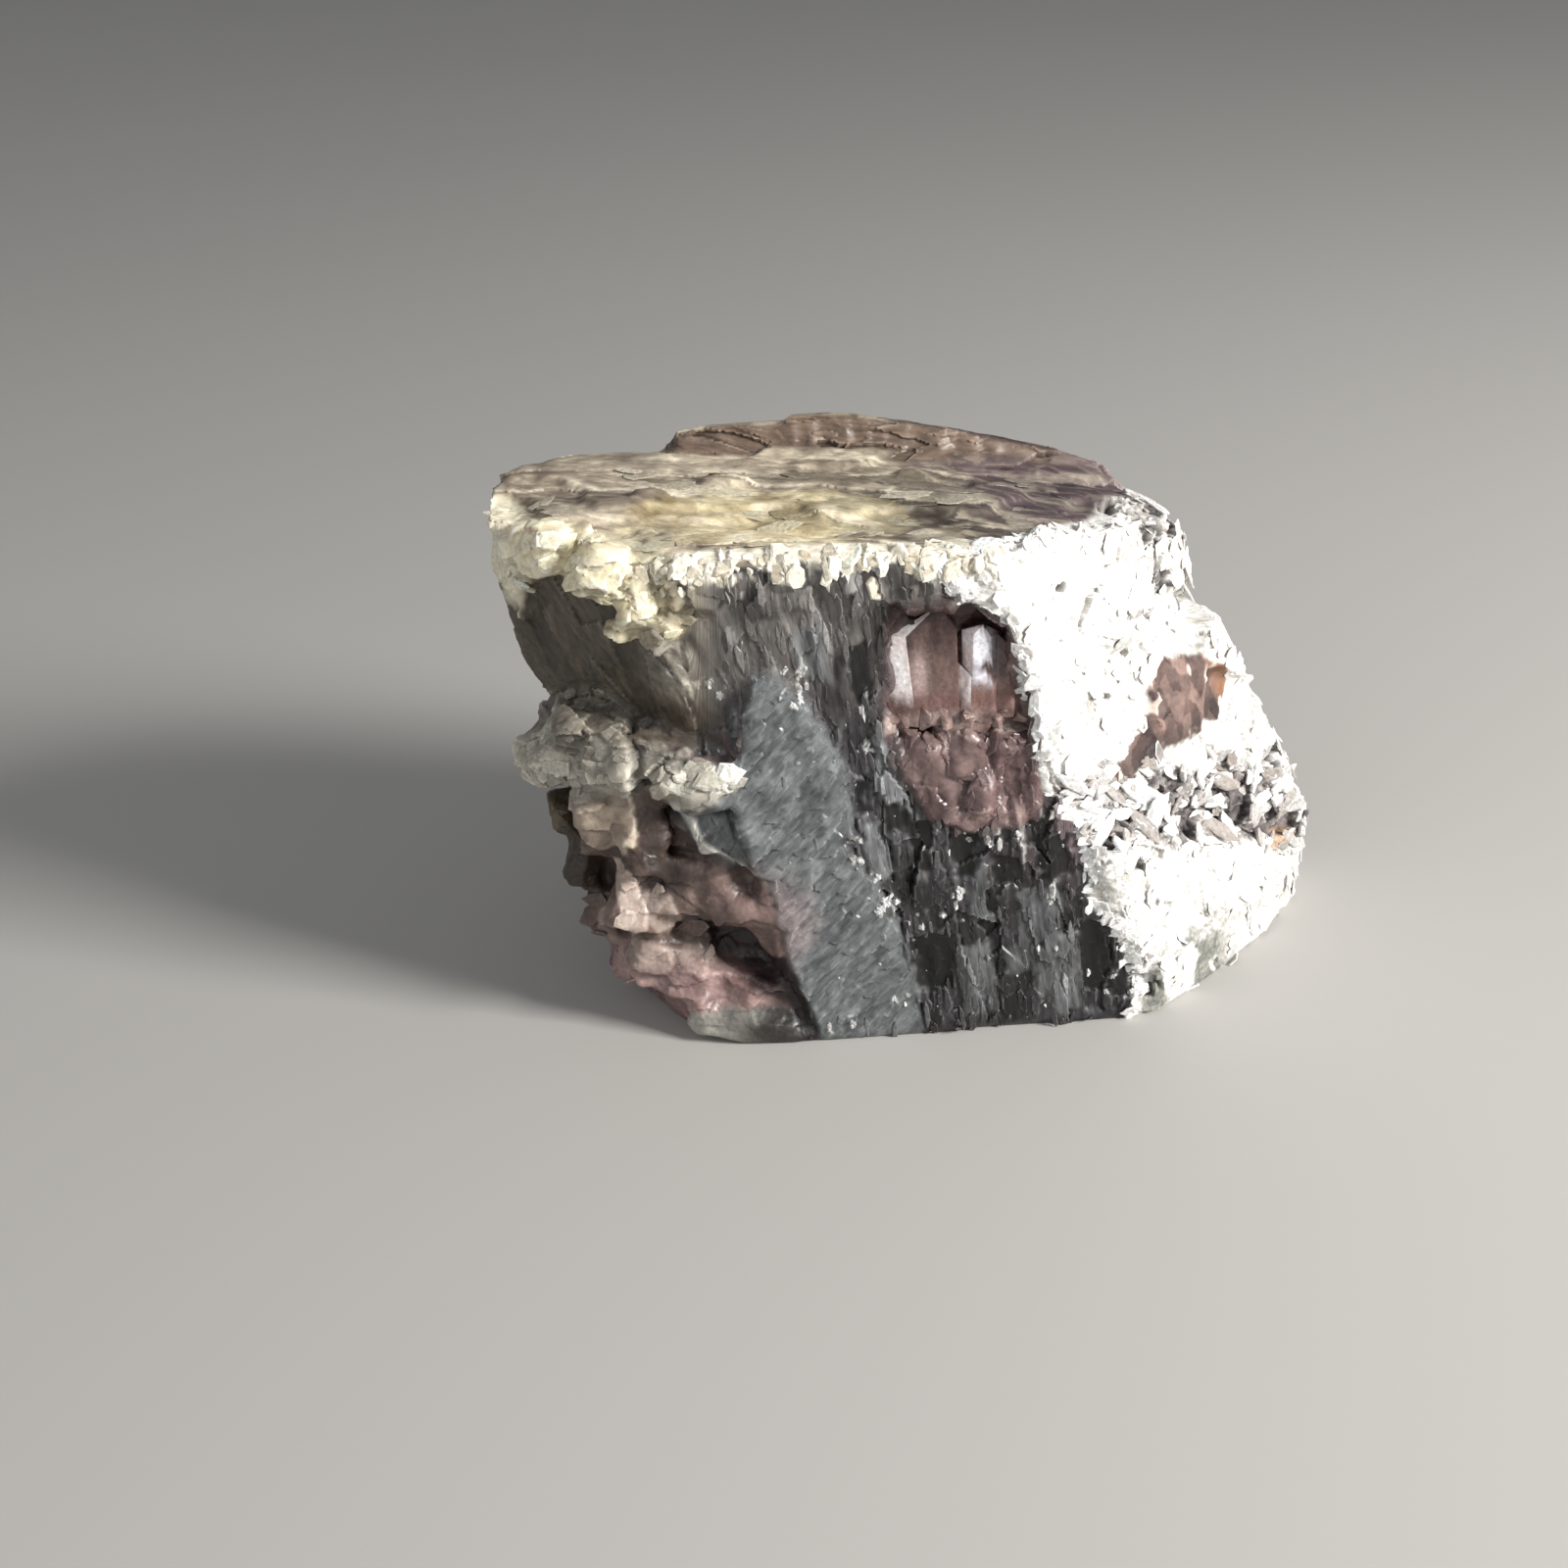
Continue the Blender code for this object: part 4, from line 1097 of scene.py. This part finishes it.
# %% Front blades and pale flakes
strewn("front_blades", ((blades * (1 - shaded_slots) + 0.05 * silver) * ramp(-y, 24, 28)
                        * ramp(x, -29, -26)), 360, 321,
       sink=0.03, tip=(0.25, 0.075, 0.025), along=(-0.1, 0, 1), turn=0.08,
       limits=((0.6, 2.8), (0.15, 0.6), (0.15, 0.4)), own=None, rim=("#8a8889", 0.35), corners=6)
strewn("glint_flakes", (glint * (blades + silver) + 0.0015 * blades) * ramp(-y, 24, 28), 260, 331,
       sink=0.04, tip=0.3, along=UPWARDS, turn=0.6, limits=((0.12, 0.8), (0.08, 0.3), (0.08, 0.16)),
       own=("#8f8c88", "#ffffff"), rim=("#b5b2ae", "#ffffff"), corners=5, shine=0.2)

# %% [markdown]
# The ledge, the cream corner and the pink mica are made of blocks with flat sides, as a book
# of mica shows when it breaks across. They sit half sunk in the skin and take its colour, with
# a painted highlight round their rims.

# %% Blocks
BLOCK = ((0.72, 0.5), (1.0, 0.2), (0.9, -0.5))

for name, weight, count, seed, limits in (
        ("ledge_blocks", ledge * (1 - cleft), 60, 401, ((0.9, 3.0), (0.6, 2.0), (0.6, 1.4))),
        ("cream_blocks", cream, 40, 411, ((0.8, 2.6), (0.6, 1.8), (0.4, 0.9))),
        ("pink_blocks", pink * ramp(-x - 0.3 * z, 22, 32) * (1 - disc), 34, 421,
         ((1.0, 2.8), (0.6, 1.6), (0.3, 0.7)))):
    strewn(name, weight * ramp(-facing[:, 1], 0.0, 0.4), count, seed, sink=0.15, tip=0.12,
           along=(1, 0, 0.35), turn=0.5, limits=limits, own=None, rim=("paler", 0.7), last_step=4,
           corners=6, depth=0.1, rings=BLOCK)

# %% [markdown]
# The right-hand face is a crust of white scales, nearly flat but for a crumbly band, where
# loose chips lie every way over gaps painted dark as shade. Its border frays into small upright
# feathers.

# %% White scales, crumbs and feathers
strewn("white_scales", white * (1 - window) * (1 - crumb) * (1 - greenish), 450, 341,
       sink=0.05, tip=0.12, along=(0.4, 0.3, 0.6), turn=1.0,
       limits=((0.8, 3.0), (0.5, 1.8), (0.14, 0.3)), own=None, rim=("#dcd8d2", "#f8f6f3"), depth=0.08,
       shine=0.45)
crusty = np.clip(crumb + 0.12 * shoulder * white, 0, 1) * (1 - window)
strewn("white_crumbs", crusty * (1 - 0.9 * pits), 260, 351,
       sink=0.1, tip=0.35, along=(0.8, 0.7, -0.2), turn=0.7,
       limits=((0.6, 4.4), (0.35, 1.6), (0.3, 0.8)), own=("#8b817a", "#ffffff"),
       rim=("#a79e97", "#ffffff"), rim_step=4, depth=0.15, shine=0.45)
strewn("white_feathers", white * (1 - white) * ramp(-y, 20, 24), 200, 358,
       sink=0.0, tip=0.35, along=(-0.5, 0, -0.6), turn=0.7, limits=((0.5, 2.2), (0.3, 1.0), (0.2, 0.5)),
       own=("#e4e0da", "#ffffff"), rim=("#f4f2ee", "#ffffff"), depth=0.08, shine=0.45)

# %% [markdown]
# The pocket holds the best crystals, thick books of clear purple-brown mica with flat sides.
# The middle one ends in a point like a roof, and its left side is painted pale as a painted
# reflection; the right one has painted glare on its front. A roof hangs over them, painted
# dark as painted shade, and a row of small lumps hides their foot.
# Each is the hull of a few points, and its colour depends on the place and on the way it faces.

# %% Pocket crystals
def crystals(name, hulls, colour_of, shine=0.2):
    """Solid pieces with flat facets: each is the hull of some points, coloured by its facets.

    The facets are cut into small triangles, so that the colour can change across them.
    """
    bm = bmesh.new()
    for points in hulls:
        corners = [bm.verts.new(Vector(point) * MM) for point in points]
        made = bmesh.ops.convex_hull(bm, input=corners)
        spare = [item for item in made["geom_interior"] if isinstance(item, bmesh.types.BMVert)]
        bmesh.ops.delete(bm, geom=spare, context="VERTS")
    bmesh.ops.subdivide_edges(bm, edges=bm.edges, cuts=9, use_grid_fill=True)
    piece = as_object(name, bm)
    mesh = piece.data
    spots = read_array(mesh.vertices, "co", 3) / MM
    loop_spots = np.array([spots[i] for face in mesh.polygons for i in face.vertices])
    loop_facing = np.array([face.normal for face in mesh.polygons for i in face.vertices])
    write_field(mesh, "tint", np.clip(colour_of(loop_spots, loop_facing), 0, 0.95), "CORNER")
    write_field(mesh, "gloss", np.full(len(spots), shine))
    write_field(mesh, "glow", np.full(len(spots), 0.6))
    write_field(mesh, "grain", spots)
    pieces.append(piece)
    print(name, len(hulls), "solids,", len(mesh.polygons), "facets")


def pocket_colour(spots, directions):
    """Brown, redder above and paler pink below, with a painted reflection on left sides, painted glare on
    the right front and painted shade under the roof.
    """
    across, deep, up = spots.T
    mottle = noise(spots, (1.3, 3, 2.2), 371) + 0.5 * noise(spots, (0.6, 2, 0.9), 372)
    leftward, outward = -directions[:, 0], -directions[:, 1]
    painted_reflection = (ramp(leftward, 0.12, 0.2) * ramp(outward, 0.2, 0.4) * ramp(-across, -6.5, -5.5)
                 * ramp(up + mottle, 50.5, 53))
    beside = (ramp(-np.abs(across + 2.3), -1.8, 0) * ramp(-up, -60, -56) * ramp(up, 51, 54)
              * ramp(outward, 0.6, 0.9))
    glare = (ramp(across, 4.0, 5.6) * ramp(-across, -8.6, -7.2) * ramp(outward, 0.6, 0.8)
             * ramp(up, 52.5, 55) * ramp(mottle, -0.9, -0.3))
    return coated(
        between("#322223", "#7b655e", (57 - up) / 6 + 0.8 * mottle),
        ("#4a2f2d", "#8a6660", mottle, 0.8 * ramp(-up + 1.5 * mottle, -54, -50.5)),
        ("#5a4340", "#a58f88", mottle, ramp(-up + mottle, -50.5, -49)),
        # Painted reflection on the left sides.
        ("#e0c8c6", "#ffffff", mottle, 0.95 * painted_reflection),
        ("#c9b2ae", 0.7 * beside),
        # Painted glare.
        ("#f6f4ff", glare),
        # Painted shade on the back wall under the roof.
        ("#2a1617", "#54332f", mottle, ramp(deep, -28.6, -28.2) * ramp(up, 57, 59)))


pocket_hulls = [
    [(-6.0, -29.75, 60.6), (-4.0, -30.16, 60.4), (0.3, -29.76, 64.4), (2.8, -30.08, 61.2), (0, -22, 64.5),
     (-5, -22, 61), (3, -22, 62), (-6.9, -30.2, 48), (-2.8, -31.14, 47.6), (3.0, -31.14, 48), (-6, -22, 47),
     (3.2, -22, 47)],
    [(3.6, -28.6, 60.4), (5.0, -30.2, 60.2), (6.3, -30.0, 61.6), (7.4, -29.6, 59.6), (9.2, -27.8, 59.4),
     (6, -22, 61), (3.6, -29.6, 48.6), (4.6, -31.0, 48.0), (7.8, -30.8, 48.4), (9.8, -28.8, 48.4),
     (6, -22, 48)],
    [(8.0, -28.4, 60.0), (9.4, -29.2, 58.6), (11.0, -27.8, 57.4), (7.6, -30.6, 48.2), (10.2, -31.0, 48.4),
     (12.2, -28, 48), (9, -22, 59)],
    [(3.0, -29.2, 56.0), (4.6, -30.6, 54.6), (6.4, -31.2, 51.6), (2.4, -31.0, 48.0), (4.4, -31.8, 47.2),
     (4, -24, 56), (4, -24, 47)],
    [(-7.5, -27.6, 58), (-5.5, -27.8, 64.6), (0, -28.2, 67.4), (5, -28.2, 66), (9.5, -27.6, 61.6),
     (12, -27, 57), (0, -20, 66), (-6, -20, 56), (11, -20, 56)]]
rng = np.random.default_rng(381)
for across in np.linspace(-6.2, 11.2, 13):
    middle = np.array([across, -31.2 + 0.1 * abs(across - 2), rng.uniform(47.0, 49.2)])
    ways = unit(rng.normal(0, 1, (10, 3)))
    pocket_hulls.append(middle + ways * rng.uniform(1.0, 2.0, 3) * (1.2, 0.8, 1.0))
crystals("pocket_crystals", pocket_hulls, pocket_colour)
strewn("pocket_leaves", pocket * ramp(-z, -48, -46), 50, 391,
       sink=0.1, tip=0.2, along=UPWARDS, turn=0.4, limits=((0.7, 2.4), (0.3, 1.1), (0.25, 0.45)),
       own=None, rim=("#c9b4aa", 0.12), corners=6, depth=0.25, shine=0.3)

# %% [markdown]
# ## Dressing the stone
# Every piece takes the same finish, rides on the stone's only body and stands for the solid.

# %% Finish and frame
for piece in pieces:
    piece.data.materials.clear()
    piece.data.materials.append(mica)
    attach(piece, "root")
    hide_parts("lepidolite")
